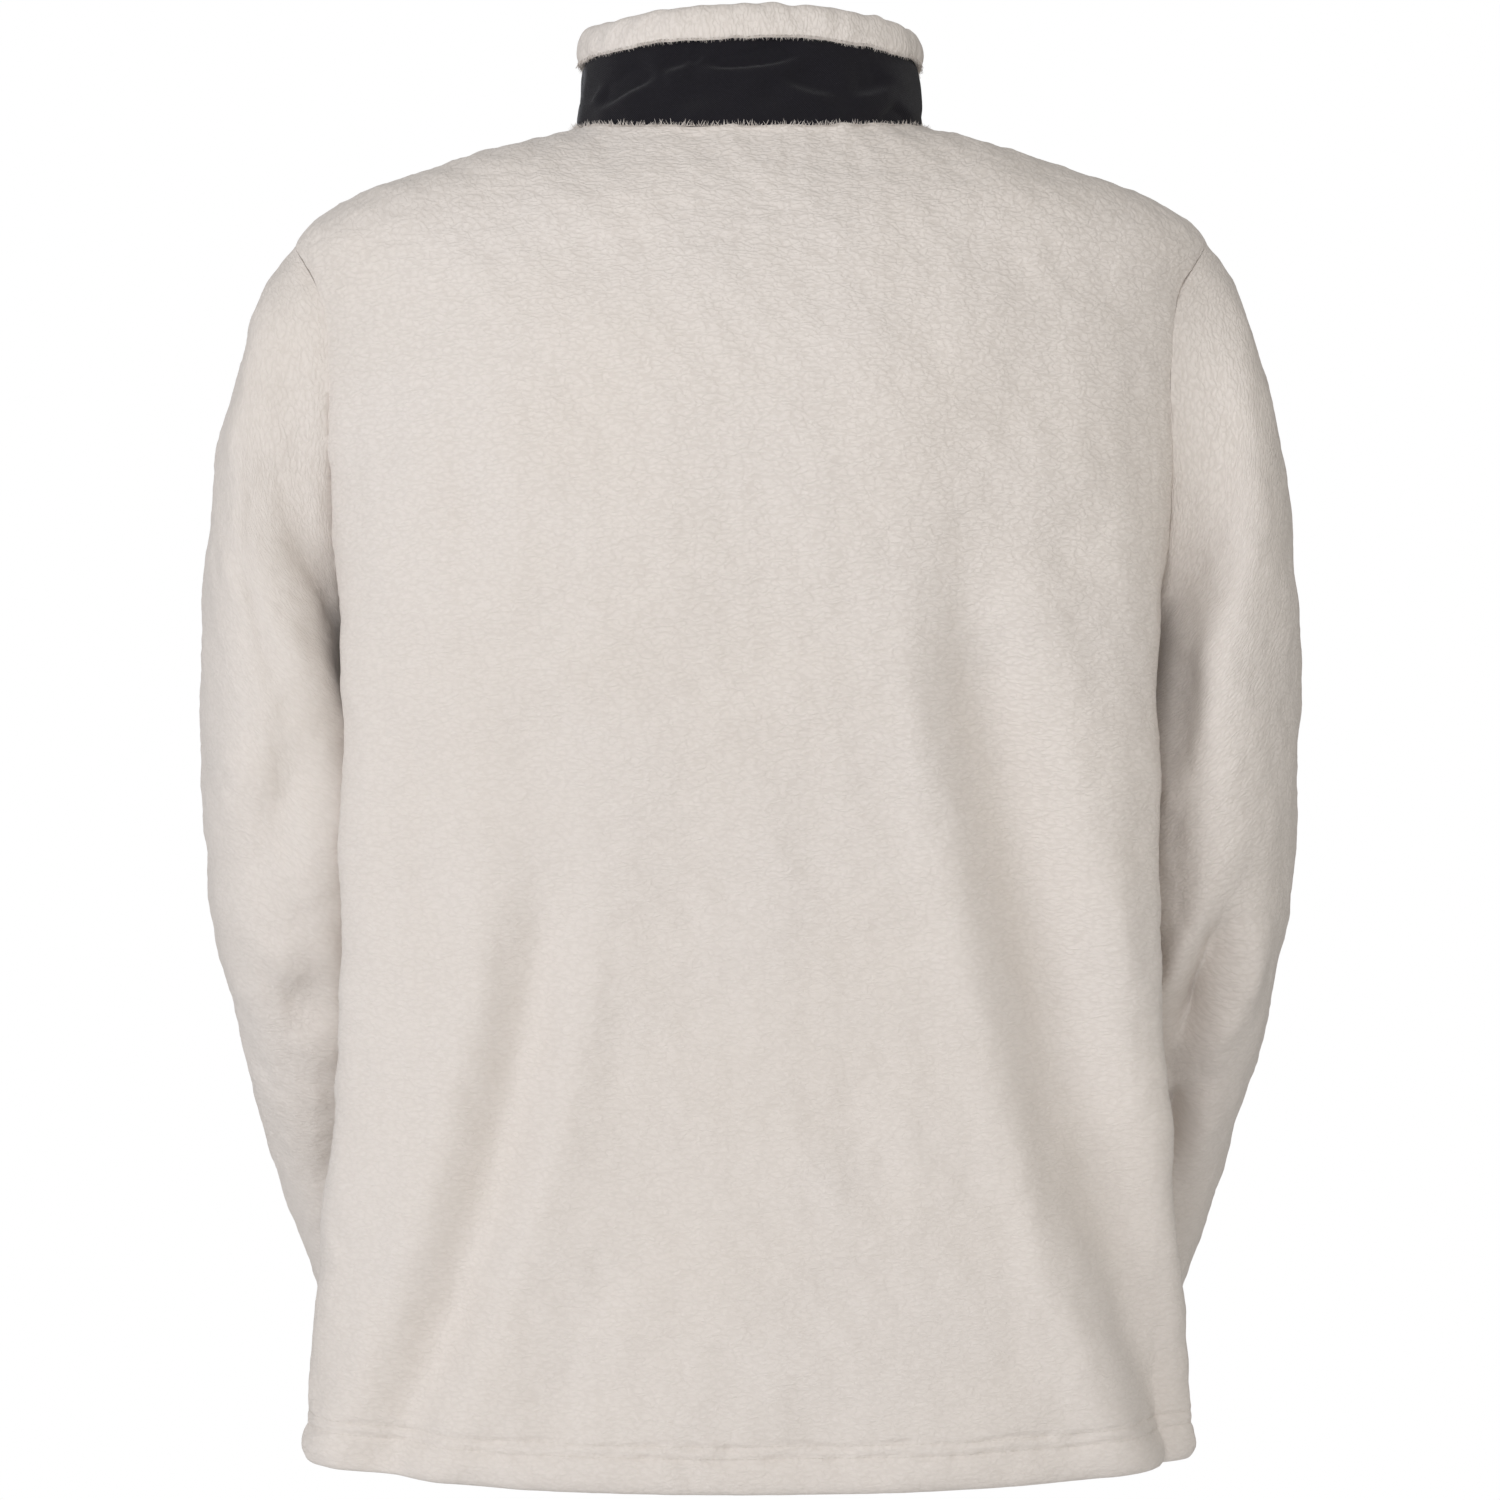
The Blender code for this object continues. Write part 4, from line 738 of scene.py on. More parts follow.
# Folds of each sleeve: angle from its outer side towards the back and section, at both ends, then width and depth
sleeveFolds = dict(
    left=(
        (128, 4.2, 62, 7.3, 0.015, 0.0050),
        (120, 8.4, 74, 9.1, 0.013, 0.0050),
        (112, 11.0, 70, 12.4, 0.015, 0.0035),
        (292, 7.2, 232, 8.6, 0.014, 0.0065),
        (304, 9.2, 236, 9.9, 0.013, 0.0065),
        (286, 11.3, 236, 11.6, 0.013, 0.0040),
        (150, 7.0, 118, 8.0, 0.010, 0.0025),
        (160, 9.6, 128, 10.4, 0.010, 0.0025),
        (88, 2.2, 100, 4.0, 0.013, 0.0016),
        (268, 2.0, 250, 4.0, 0.013, 0.0018),
        (120, 13.4, 80, 13.9, 0.010, 0.0016),
        (210, 5.6, 168, 6.6, 0.011, 0.0022),
        (215, 8.0, 172, 8.7, 0.010, 0.0026),
        (220, 13.2, 180, 13.8, 0.010, 0.0016),
        (320, 13.0, 280, 14.0, 0.011, 0.0016),
        (20, 9.0, -20, 10.6, 0.014, 0.0014),
        (140, 2.0, 134, 10.6, 0.028, -0.0085),
        (148, 2.6, 140, 7.0, 0.022, -0.0040),
        (130, -0.4, 122, 4.4, 0.024, -0.0075),
    ),
    right=(
        (148, 1.4, 124, 5.4, 0.018, 0.0055),
        (122, 1.4, 92, 5.4, 0.018, -0.0018),
        (74, 7.3, 111, 9.7, 0.015, 0.0150),
        (98, 10.2, 86, 11.8, 0.013, 0.0110),
        (296, 7.6, 236, 8.4, 0.014, 0.0065),
        (290, 9.7, 230, 10.2, 0.013, 0.0060),
        (300, 12.4, 246, 12.8, 0.013, 0.0035),
        (152, 7.6, 112, 8.4, 0.010, 0.0026),
        (160, 10.6, 124, 11.3, 0.010, 0.0025),
        (84, 11.6, 60, 12.8, 0.012, 0.0016),
        (262, 2.2, 246, 4.2, 0.013, 0.0018),
        (118, 13.6, 78, 14.2, 0.010, 0.0016),
        (206, 6.0, 164, 6.9, 0.011, 0.0022),
        (214, 8.8, 174, 9.4, 0.010, 0.0026),
        (222, 12.8, 182, 13.4, 0.010, 0.0016),
        (324, 10.6, 284, 11.6, 0.011, 0.0016),
        (24, 8.2, -16, 9.8, 0.014, 0.0014),
        (132, 4.6, 128, 8.6, 0.022, 0.0060),
        (112, 6.6, 92, 12.6, 0.026, 0.0080),
    ),
)


def sleeveBase():
    # The left sleeve's points, its turn in degrees and its place down the arm
    columns = len(armhole)
    turn = -360.0 * np.arange(columns) / columns
    angle = np.radians(turn)
    rows = [armhole]
    for outerX, outerZ, innerX, innerZ, midY, halfDepth, lean, belly in sleeve["sections"]:
        out = np.array([outerX - innerX, 0, outerZ - innerZ]) / 2
        centre = np.array([outerX + innerX, 2 * midY, outerZ + innerZ]) / 2
        lean = math.radians(lean)
        back = halfDepth * np.array([0, math.cos(lean), -math.sin(lean)])
        onward = np.array([out[2], 0, -out[0]]) / np.linalg.norm(out)
        rows.append(
            centre + np.outer(np.cos(angle), out) + np.outer(np.sin(angle), back)
            + np.outer(belly * np.sin(angle) ** 2, onward)
        )
    rows = np.array(rows)
    chords = np.linalg.norm(np.diff(rows, axis=0), axis=-1)
    slopes = np.empty_like(rows)
    before, after = chords[:-1, :, None], chords[1:, :, None]
    rates = np.diff(rows, axis=0) / np.maximum(chords[..., None], 1e-4)
    slopes[1:-1] = (rates[:-1] * after + rates[1:] * before) / (before + after)
    slopes[0], slopes[-1] = rates[0], rates[-1]
    length = chords.mean(axis=1)
    total = length.sum()
    fromCuff = np.array(hem["rows"])
    body = np.arange(0, total - fromCuff[-1] - sleeve["cell"] / 2, sleeve["cell"])
    places = np.concatenate([body, (total - fromCuff)[::-1]])
    run = np.concatenate([[0], np.cumsum(length)])
    fine, at = [], []
    for place in places:
        k = min(int(np.searchsorted(run, place, side="right")) - 1, len(length) - 1)
        s = (place - run[k]) / length[k]
        fine.append(between(s, rows[k], rows[k + 1], slopes[k], slopes[k + 1], chords[k][:, None]))
        at.append(k + s - 1)
    return np.array(fine), turn, np.array(at), total - places


def sleeveRelief(arm, turn, at):
    # Folds laid out flat over degrees round the arm and sections down it
    perDegree, perSection = sleeve["metresPerDegree"], sleeve["metresPerSection"]
    rows = []
    for turnA, atA, turnB, atB, width, depth in sleeveFolds[arm]:
        midTurn, midAt = (turnA + turnB) / 2, (atA + atB) / 2 + 0.12
        rows.append((turnA * perDegree, atA * perSection, midTurn * perDegree, midAt * perSection,
                     turnB * perDegree, atB * perSection, width, depth, 0.15, 0.15))
    total = 0
    for whole in (-360, 0):
        a = np.broadcast_to(((turn % 360) + whole)[None, :] * perDegree, (len(at), len(turn)))
        b = np.broadcast_to(at[:, None] * perSection, a.shape)
        total = total + bentLines(a, b, rows)
    return total


sleevePoints, sleeveTurn, sleeveAt, cuffRise = sleeveBase()
sleeveNormals = gridNormals(sleevePoints, closed=True)
print("sleeve surface laid out:", sleevePoints.shape)

borders = borderSum(
    [(bodyPoints[name], bodyNormals[name]) for name in bodyPoints]
    + [(sleevePoints, sleeveNormals), (sleevePoints * [-1, 1, 1], sleeveNormals * [-1, 1, 1])]
)


def lining(points, normals, wall, rowPicks, columnPicks, seamRows, seamColumns):
    # The inner face, with mitred directions where a seam is shared
    kept = points[np.ix_(rowPicks, columnPicks)]
    out = normals[np.ix_(rowPicks, columnPicks)].copy()
    for r in range(len(rowPicks)):
        for c in range(len(columnPicks)):
            if rowPicks[r] in seamRows or columnPicks[c] in seamColumns:
                out[r, c] = sharedAt(borders, kept[r, c], out[r, c])
    return kept - out * wall[rowPicks][:, None, None]


def wallThickness(rise):
    # Thicker where the hem is turned up
    turned = np.clip((hem["turnUp"] - rise) / hem["turnStep"], 0, 1)
    return torso["wall"] + (torso["hemWall"] - torso["wall"]) * turned


pieces, outerFaces, shells = {}, {}, {}
seeds = cloth["seeds"]
for name, points in bodyPoints.items():
    normals = bodyNormals[name]
    lastRow, lastColumn = points.shape[0] - 1, points.shape[1] - 1
    upFrom = runAlong(points, 0)
    acrossFrom = runAlong(points, 1)
    relief = bodyRelief[name] + hemRelief(upFrom, points, seeds["bodyHem"]) + unevenCloth(points)
    inward = bodyRelief[name].copy()
    relief += cloth["neckLip"] * bell(distanceTo(points, points[-1]), cloth["neckLipWidth"])
    seams = []
    if name != "right_front":
        seams.append(points[:, 0] if name == "back" else points[:, -1])
    if name != "left_front":
        seams.append(points[:, -1] if name == "back" else points[:, 0])
    for line in seams:
        relief += seamValley(points, line, seeds["bodySeam"]) * seamStrength(points)
    if name != "back":
        edge = acrossFrom if name == "left_front" else acrossFrom[:, -1:] - acrossFrom
        relief -= roundedEdge(edge, cloth["zipEdgeRadius"]) * cloth["zipEdgeRound"]
        relief -= cloth["zipEdgeDepth"] * bell(edge - cloth["zipStitch"], cloth["zipEdgeWidth"])
    outer = points + normals * relief[..., None]
    rowPicks, columnPicks = picks(points.shape[0], 4), picks(points.shape[1], 4)
    wall = wallThickness(upFrom[:, points.shape[1] // 2])
    seamColumns = {"back": (0, lastColumn), "left_front": (lastColumn,), "right_front": (0,)}[name]
    inner = lining(points + normals * inward[..., None], normals, wall, rowPicks, columnPicks, (lastRow,), seamColumns)
    inner[0] += cloth["openRim"] * (outer[0, columnPicks] - inner[0]) / wall[0]
    middleUp = np.broadcast_to(upFrom[:, [lastColumn // 2]], upFrom.shape)
    uv = np.stack([acrossFrom - acrossFrom[:, -1:] / 2, middleUp], axis=-1)
    outerFaces[name] = outer
    shells[name] = (inner, rowPicks, columnPicks, uv)
meetAtSides(outerFaces)
for name, title in (("back", "backPanel"), ("left_front", "leftFrontPanel"), ("right_front", "rightFrontPanel")):
    inner, rowPicks, columnPicks, uv = shells[name]
    pieces[name] = clothShell(title, outerFaces[name], inner, rowPicks, columnPicks, fleeceFinish, uv=uv)
print("back and fronts made")

for arm, side in (("left", 1), ("right", -1)):
    points = sleevePoints
    relief = sleeveRelief(arm, sleeveTurn, sleeveAt) * np.clip((sleeveAt + 1) / 1.2, 0, 1)[:, None]
    inward = relief.copy()
    placed = points * [side, 1, 1]
    rise = np.broadcast_to(cuffRise[:, None], points.shape[:2])
    relief = relief + hemRelief(rise, placed, seeds["cuff"] + side) + unevenCloth(placed)
    armholeLoop = np.concatenate([armhole, armhole[:1]])
    valley = seamValley(points, armholeLoop, seeds["armhole"], ridge=cloth["armholeRidge"])
    relief += valley * seamStrength(points)
    underarm = points.shape[1] // 2
    relief += seamValley(points, points[:, underarm], seeds["underarm"] + side, depth=cloth["underarmDepth"])
    outer = points + sleeveNormals * relief[..., None]
    rowPicks, columnPicks = picks(points.shape[0], 4), np.arange(0, points.shape[1], 4)
    wall = wallThickness(cuffRise)
    inner = lining(
        points + sleeveNormals * inward[..., None], sleeveNormals, wall, rowPicks, columnPicks, (0,), ()
    )
    inner[-1] += cloth["openRim"] * (outer[-1, columnPicks] - inner[-1]) / wall[-1]
    along = runAlong(points, 0)
    size = runAlong(np.concatenate([points, points[:, :1]], axis=1), 1)
    size = (size[:, :-1] - size[:, underarm:underarm + 1]) % size[:, -1:]  # the cloth's own map starts at the underarm
    uv = np.stack([size, -np.broadcast_to(along.mean(axis=1)[:, None], size.shape)], axis=-1)
    if side < 0:
        flip = [-1, 1, 1]
        order, innerOrder = [-np.arange(count) % count for count in (points.shape[1], len(columnPicks))]
        outer, uv, inner = (outer * flip)[:, order], uv[:, order], (inner * flip)[:, innerOrder]
    pieces[arm + "_sleeve"] = clothShell(
        arm + "Sleeve", outer, inner, rowPicks, columnPicks, fleeceFinish, closed=True, uv=uv,
    )
    outerFaces[arm + "_sleeve"] = outer
print("sleeves made")

collar = dict(
    back=0.0655, side=0.0530, front=0.0620,  # heights along the stand
    lean=0.16, taper=0.006,
    bandDepth=0.019, bandCover=0.004, bandProud=0.0048,
    seamGap=0.0004, fleeceFoot=-0.0012,  # between panel and lining, and where the lining begins below the neck seam
    hollowest=-0.0020, highest=0.0034,  # the panel's creases stay within these
    panelWall=0.0014, panelLift=0.0012, fleeceWall=0.0048,
    ragged=0.0006, lumps=0.00030, creased=1.7, panelUneven=0.00035,
    panelFoot=0.0035,  # how far the panel reaches down inside the body's neck edge
    # Creases of the woven panel: sideways and height of three points, width, ridge along the line, hollow beside it,
    # which side of the line the hollow lies on (1 is above, for a line drawn from the wearer's left)
    creases=(
        (0.0820, 0.0045, 0.0600, 0.0150, 0.0440, 0.0260, 0.0036, 0.0012, 0.0021, 1),
        (0.0460, 0.0245, 0.0380, 0.0290, 0.0290, 0.0305, 0.0033, 0.0010, 0.0013, 1),
        (0.0345, 0.0350, 0.0320, 0.0330, 0.0290, 0.0300, 0.0027, 0.0004, 0.0010, 1),
        (0.0290, 0.0300, 0.0060, 0.0255, -0.0340, 0.0360, 0.0029, 0.0013, 0.0023, 1),
        (-0.0130, 0.0255, -0.0260, 0.0120, -0.0500, 0.0135, 0.0040, 0.0013, 0.0010, 1),
        (-0.0480, 0.0135, -0.0660, 0.0125, -0.0770, 0.0220, 0.0040, 0.0013, 0.0011, 1),
        (-0.0740, 0.0150, -0.0800, 0.0085, -0.0870, 0.0015, 0.0039, 0.0008, 0.0020, -1),
        (0.0760, 0.0225, 0.0800, 0.0170, 0.0810, 0.0100, 0.0025, 0.0008, 0.0008, -1),
        (0.0500, 0.0040, 0.0100, 0.0120, -0.0450, 0.0030, 0.0070, 0.0006, 0.0002, 1),
        (0.0100, 0.0120, -0.0020, 0.0210, -0.0080, 0.0240, 0.0060, 0.0005, 0.0000, 1),
    ),
    frontCreases=(
        (0.082, 0.030, 0.060, 0.020, 0.030, 0.026, 0.0026, 0.0010, 0.0014, 1),
        (-0.080, 0.022, -0.058, 0.014, -0.030, 0.020, 0.0028, 0.0010, 0.0014, -1),
        (0.070, 0.010, 0.045, 0.013, 0.020, 0.007, 0.0032, 0.0009, 0.0006, 1),
        (-0.072, 0.036, -0.050, 0.034, -0.024, 0.039, 0.0026, 0.0008, 0.0010, -1),
    ),
)

collarUp = np.array([0.0, -collar["lean"], 1.0]) / math.hypot(1.0, collar["lean"])


def neckLine():
    fine = np.concatenate([bodyPoints["left_front"][-1], bodyPoints["back"][-1, 1:], bodyPoints["right_front"][-1, 1:]])
    run = runAlong(fine, 0)
    return pointsAt(np.linspace(0, run[-1], 361), run, fine)


def collarFrame(neck):
    angle = np.arctan2(neck[:, 0] / torso["rings"][-1][3], neck[:, 1] / torso["rings"][-1][4])
    end = np.where(np.cos(angle) > 0, collar["back"], collar["front"])
    height = collar["side"] + np.cos(angle) ** 2 * (end - collar["side"])
    along = np.gradient(neck, axis=0)
    outward = unit(np.cross(along, [0.0, 0.0, 1.0]))
    normal = unit(outward - np.outer(outward @ collarUp, collarUp))
    return height, outward, normal


def collarPoint(rise, depth):
    up = np.broadcast_to(rise, collarHeight.shape)[:, None]
    leanIn = collar["taper"] * up / collarHeight[:, None]
    depth = np.broadcast_to(depth, collarHeight.shape)[:, None]
    return neck + collarUp * up - collarOut * leanIn - collarNormal * depth


neck = neckLine()
collarHeight, collarOut, collarNormal = collarFrame(neck)
neckRun = runAlong(neck, 0)


def makeCollarPanel():
    top = collarHeight - collar["bandDepth"] + collar["bandCover"]
    shares = np.linspace(0, 1, 61)
    rise = (top[None, :] + collar["panelFoot"]) * shares[:, None] - collar["panelFoot"]
    base = np.array([collarPoint(row, 0.0) for row in rise])
    across = np.broadcast_to(neck[:, 0], rise.shape)
    behind = np.broadcast_to(neck[:, 1] > 0, rise.shape)
    ends = np.clip(np.minimum(neckRun, neckRun[-1] - neckRun) / 0.01, 0.2, 1)[None, :]
    relief = np.where(behind, creaseLines(across, rise, collar["creases"]),
                      creaseLines(across, rise, collar["frontCreases"]))
    relief = collar["creased"] * relief + collar["panelUneven"] * unevenness(base, 0.024, 5, flat=2.0)
    underBand = np.clip((top[None, :] - 0.0025 - rise) / 0.003, 0, 1)
    relief = (np.clip(relief, collar["hollowest"], collar["highest"]) * ends + collar["panelLift"]) * underBand
    relief -= 0.0030 * (1 - np.clip((rise + 0.0030) / 0.0035, 0, 1))  # tucked in at its foot
    relief -= 0.0004 * bell(rise, 0.0035)
    outer = base + collarNormal * relief[..., None]
    rowPicks, columnPicks = picks(len(shares), 6), picks(len(neck), 4)
    depth = np.minimum(-collar["panelWall"], relief.min(axis=1) - 0.0004)[rowPicks]
    inner = base[np.ix_(rowPicks, columnPicks)] + collarNormal[columnPicks] * depth[:, None, None]
    uv = np.stack([np.broadcast_to(neckRun, rise.shape), rise], axis=-1)
    return clothShell("collarPanel", outer, inner, rowPicks, columnPicks, wovenFinish, uv=uv)


def makeCollarFleece():
    # The lining of the stand, rolled over its top and a little way down outside the woven panel
    seamGap, foot = collar["seamGap"], collar["fleeceFoot"]
    backFace = collar["panelWall"] + seamGap
    inside = backFace + collar["fleeceWall"]
    h, depth, proud = collarHeight, collar["bandDepth"], collar["bandProud"]
    ragged = collar["ragged"] * (unevenness(neck, 0.045, 12) + 0.35 * unevenness(neck, 0.011, 13))
    panelTop = h - depth + collar["bandCover"] + seamGap
    corners = (
        (foot, inside), (0.35 * h, inside), (0.70 * h, inside), (h - 0.0080, inside), (h - 0.0028, inside - 0.0016),
        (h, 0.0012), (h - 0.0020, -0.0028), (h - 0.0065, -proud), (h - 0.0130, -proud - 0.0002),
        (h - depth + 0.0022 + ragged, -0.0042), (h - depth + ragged, -0.0027), (h - depth + 0.0008 + ragged, -0.0008),
    )
    rises = np.array([np.broadcast_to(rise, h.shape) for rise, _ in corners])
    depths = np.array([np.broadcast_to(value, h.shape) for _, value in corners])
    dense = []
    for i in range(len(corners) - 1):
        gap = float(np.hypot(rises[i + 1] - rises[i], depths[i + 1] - depths[i]).mean())
        count = max(2, round(gap / 0.0016))
        dense += [i + j / count for j in range(count)]
    dense.append(len(corners) - 1)
    both = smoothRows(np.stack([rises, depths], axis=-1).reshape(len(corners), -1), np.array(dense))
    both = both.reshape(len(dense), len(h), 2)
    rows = np.array([collarPoint(row[:, 0], row[:, 1]) for row in both])
    normals = -gridNormals(rows)
    lumps = collar["lumps"] * (1.5 * unevenness(rows, 0.045, 30) + unevenness(rows, 0.012, 31))
    firm = np.clip((len(dense) - 1 - np.arange(len(dense))) / 6, 0, 1)[:, None]
    outer = rows + normals * (lumps * firm)[..., None]
    closing = ((panelTop, -0.0005), (panelTop, backFace), (0.4 * h, backFace), (foot, backFace))
    inner = np.array([collarPoint(rise, depth) for rise, depth in closing])
    loop = np.concatenate([outer, inner])
    faces = sweptFaces(*loop.shape[:2])
    run = runAlong(loop, 0).mean(axis=1)
    uv = np.stack(np.broadcast_arrays(run[:, None], neckRun[None, :]), axis=-1)
    edge = collarPoint(h - depth + ragged + 0.0012, -0.0028)
    return meshPiece("collarFleece", loop.reshape(-1, 3), faces, fleeceFinish, uv.reshape(-1, 2)), edge


pieces["collar_panel"] = makeCollarPanel()
pieces["collar_fleece"], bandEdge = makeCollarFleece()
print("collar made")


def pathPiece(name, paths, outwards):
    # Edges along each path, with the outward direction kept at its points
    points, edges, out = [], [], []
    for path, directions in zip(paths, outwards):
        first = len(points)
        points += path.tolist()
        out += directions.tolist()
        edges += [(first + i, first + i + 1) for i in range(len(path) - 1)]
    mesh = bpy.data.meshes.new(name)
    mesh.from_pydata(points, edges, [])
    kept = mesh.attributes.new("outward", "FLOAT_VECTOR", "POINT")
    kept.data.foreach_set("vector", np.array(out, np.float32).ravel())
    return addObject(name, mesh)


def repeatTree(name, unitKind):
    tree = bpy.data.node_groups.new(name, "GeometryNodeTree")
    face = tree.interface
    face.new_socket("Geometry", in_out="INPUT", socket_type="NodeSocketGeometry")
    sizes = (("Pitch", 0.003), ("Width", 0.001), ("Depth", 0.001), ("Length", 0.003), ("Lift", 0.0),
             ("Turn Spread", 0.0), ("Size Spread", 0.0))
    for socket, value in sizes:
        face.new_socket(socket, in_out="INPUT", socket_type="NodeSocketFloat").default_value = value
    face.new_socket("Seed", in_out="INPUT", socket_type="NodeSocketInt").default_value = 1
    face.new_socket("Material", in_out="INPUT", socket_type="NodeSocketMaterial")
    face.new_socket("Geometry", in_out="OUTPUT", socket_type="NodeSocketGeometry")
    n = {"start": tree.nodes.new("NodeGroupInput"), "end": tree.nodes.new("NodeGroupOutput")}
    n |= addNodes(tree, (
        ("curve", "GeometryNodeMeshToCurve", {}),
        ("resample", "GeometryNodeResampleCurve", {"mode": "LENGTH"}),
        ("tangent", "GeometryNodeInputTangent", {}),
        ("outward", "GeometryNodeInputNamedAttribute", {"data_type": "FLOAT_VECTOR", "Name": "outward"}),
        ("aim", "FunctionNodeAlignRotationToVector", {"axis": "Z", "pivot_axis": "AUTO"}),
        ("face", "FunctionNodeAlignRotationToVector", {"axis": "Y", "pivot_axis": "Z"}),
        ("storeTurn", "GeometryNodeStoreNamedAttribute", {"data_type": "QUATERNION", "Name": "turn"}),
        ("points", "GeometryNodeCurveToPoints", {"mode": "EVALUATED"}),
        ("readTurn", "GeometryNodeInputNamedAttribute", {"data_type": "QUATERNION", "Name": "turn"}),
        ("place", "GeometryNodeInstanceOnPoints", {}),
        ("offset", "ShaderNodeCombineXYZ", {}),
        ("size", "ShaderNodeCombineXYZ", {}),
        ("shift", "GeometryNodeTranslateInstances", {"Local Space": True}),
        ("low", "ShaderNodeMath", {"operation": "SUBTRACT", 0: 1.0}),
        ("high", "ShaderNodeMath", {"operation": "ADD", 0: 1.0}),
        ("randomSize", "FunctionNodeRandomValue", {"data_type": "FLOAT"}),
        ("scaled", "ShaderNodeVectorMath", {"operation": "SCALE"}),
        ("minus", "ShaderNodeMath", {"operation": "MULTIPLY", 1: -1.0}),
        ("lowTurn", "ShaderNodeCombineXYZ", {}),
        ("highTurn", "ShaderNodeCombineXYZ", {}),
        ("randomTurn", "FunctionNodeRandomValue", {"data_type": "FLOAT_VECTOR"}),
        ("sway", "GeometryNodeRotateInstances", {"Local Space": True}),
        ("real", "GeometryNodeRealizeInstances", {}),
        ("paint", "GeometryNodeSetMaterial", {}),
    ))
    n |= addNodes(tree, {
        "stitch": (("unit", "GeometryNodeMeshIcoSphere", {"Radius": 0.5, "Subdivisions": 1}),),
        "tuft": (
            ("unit", "GeometryNodeMeshCone", {"Vertices": 4, "Side Segments": 1, "Radius Top": 0.1,
                                              "Radius Bottom": 0.5, "Depth": 1.0}),
            ("shaped", "GeometryNodeTransform", {"Rotation": (-math.pi / 2, 0, 0)}),
        ),
        "tooth": (  # a moulded block with rounded corners
            ("unit", "GeometryNodeMeshCube", {"Size": (1.0, 1.0, 1.0)}),
            ("shaped", "GeometryNodeSubdivisionSurface", {"Level": 1, "Edge Crease": 0.55}),
        ),
    }[unitKind])
    if "shaped" in n:
        join(tree, n, ("unit.Mesh > shaped.0", "shaped.0 > place.Instance"))
    else:
        join(tree, n, ("unit.Mesh > place.Instance",))
    join(tree, n, (
        "start.Geometry > curve.Mesh", "curve.Curve > resample.Curve", "start.Pitch > resample.Length",
        "tangent.0 > aim.Vector", "aim.0 > face.Rotation", "outward.Attribute > face.Vector",
        "resample.Curve > storeTurn.Geometry", "face.0 > storeTurn.Value", "storeTurn.0 > points.Curve",
        "points.Points > place.Points",
        "readTurn.Attribute > place.Rotation", "start.Width > size.X", "start.Depth > size.Y",
        "start.Length > size.Z", "start.Size Spread > low.1", "start.Size Spread > high.1",
        "low.0 > randomSize.2", "high.0 > randomSize.3", "start.Seed > randomSize.Seed", "size.0 > scaled.0",
        "randomSize.1 > scaled.Scale", "scaled.0 > place.Scale", "start.Lift > offset.Y",
        "place.0 > shift.Instances", "offset.0 > shift.Translation", "start.Turn Spread > minus.0",
    ))
    for axis in "XYZ":
        join(tree, n, (f"minus.0 > lowTurn.{axis}", f"start.Turn Spread > highTurn.{axis}"))
    join(tree, n, (
        "lowTurn.0 > randomTurn.0", "highTurn.0 > randomTurn.1", "start.Seed > randomTurn.Seed",
        "shift.0 > sway.Instances", "randomTurn.0 > sway.Rotation", "sway.0 > real.0", "real.0 > paint.Geometry",
        "start.Material > paint.Material", "paint.0 > end.0",
    ))
    return tree


def repeatAlong(name, paths, outwards, tree, material, **sizes):
    guide = pathPiece(name + "Guide", paths, outwards)
    maker = guide.modifiers.new("repeat", "NODES")
    maker.node_group = tree
    for item in tree.interface.items_tree:
        if item.in_out == "INPUT" and item.name in sizes:
            maker[item.identifier] = sizes[item.name]
        if item.in_out == "INPUT" and item.name == "Material":
            maker[item.identifier] = material
    evaluated = guide.evaluated_get(bpy.context.evaluated_depsgraph_get())
    mesh = bpy.data.meshes.new_from_object(evaluated)
    mesh.name = name
    piece = addObject(name, mesh)
    mesh.shade_smooth()
    mesh.materials.clear()
    mesh.materials.append(material)
    bpy.data.objects.remove(guide)
    return piece


stitchTree = repeatTree("stitches", "stitch")
toothTree = repeatTree("zipTeeth", "tooth")
tuftTree = repeatTree("tufts", "tuft")


def crossing(surface, outward, heights, height):
    # Where each column of a surface passes a height, and its outward direction there
    path, out = [], []
    for c in range(surface.shape[1]):
        order = np.argsort(heights[:, c])
        path.append(pointsAt(height, heights[order, c], surface[order, c]))
        out.append(pointsAt(height, heights[order, c], outward[order, c]))
    return np.array(path), unit(np.array(out))


threads = dict(length=0.0029, pitch=0.0036, thick=0.00042, lift=-0.00006)


def makeStitches():
    lines = []
    for name in ("back", "left_front", "right_front"):
        outer = outerFaces[name]
        rise = runAlong(bodyPoints[name], 0)
        lines += [crossing(outer, gridNormals(outer), rise, height) for height in hem["lines"]]
    for name in ("left_sleeve", "right_sleeve"):
        outer = outerFaces[name][::-1]
        rise = np.broadcast_to(cuffRise[::-1, None], outer.shape[:2])
        for height in hem["lines"]:
            path, out = crossing(outer, gridNormals(outer, closed=True), rise, height)
            lines.append((np.concatenate([path, path[:1]]), -np.concatenate([out, out[:1]])))
    for name in ("left_front", "right_front"):  # beside the zip
        outer = outerFaces[name]
        across = runAlong(bodyPoints[name], 1)
        if name == "right_front":
            across = across[:, -1:] - across
        turned = [grid.transpose(1, 0, 2) for grid in (outer, gridNormals(outer))]
        lines.append(crossing(*turned, across.T, cloth["zipStitch"]))
    paths, outwards = zip(*lines)
    return repeatAlong(
        "stitching", paths, outwards, stitchTree, threadFinish, Pitch=threads["pitch"], Width=threads["thick"],
        Depth=threads["thick"], Length=threads["length"], Lift=threads["lift"],
        **{"Turn Spread": 0.06, "Size Spread": 0.06, "Seed": 3},
    )


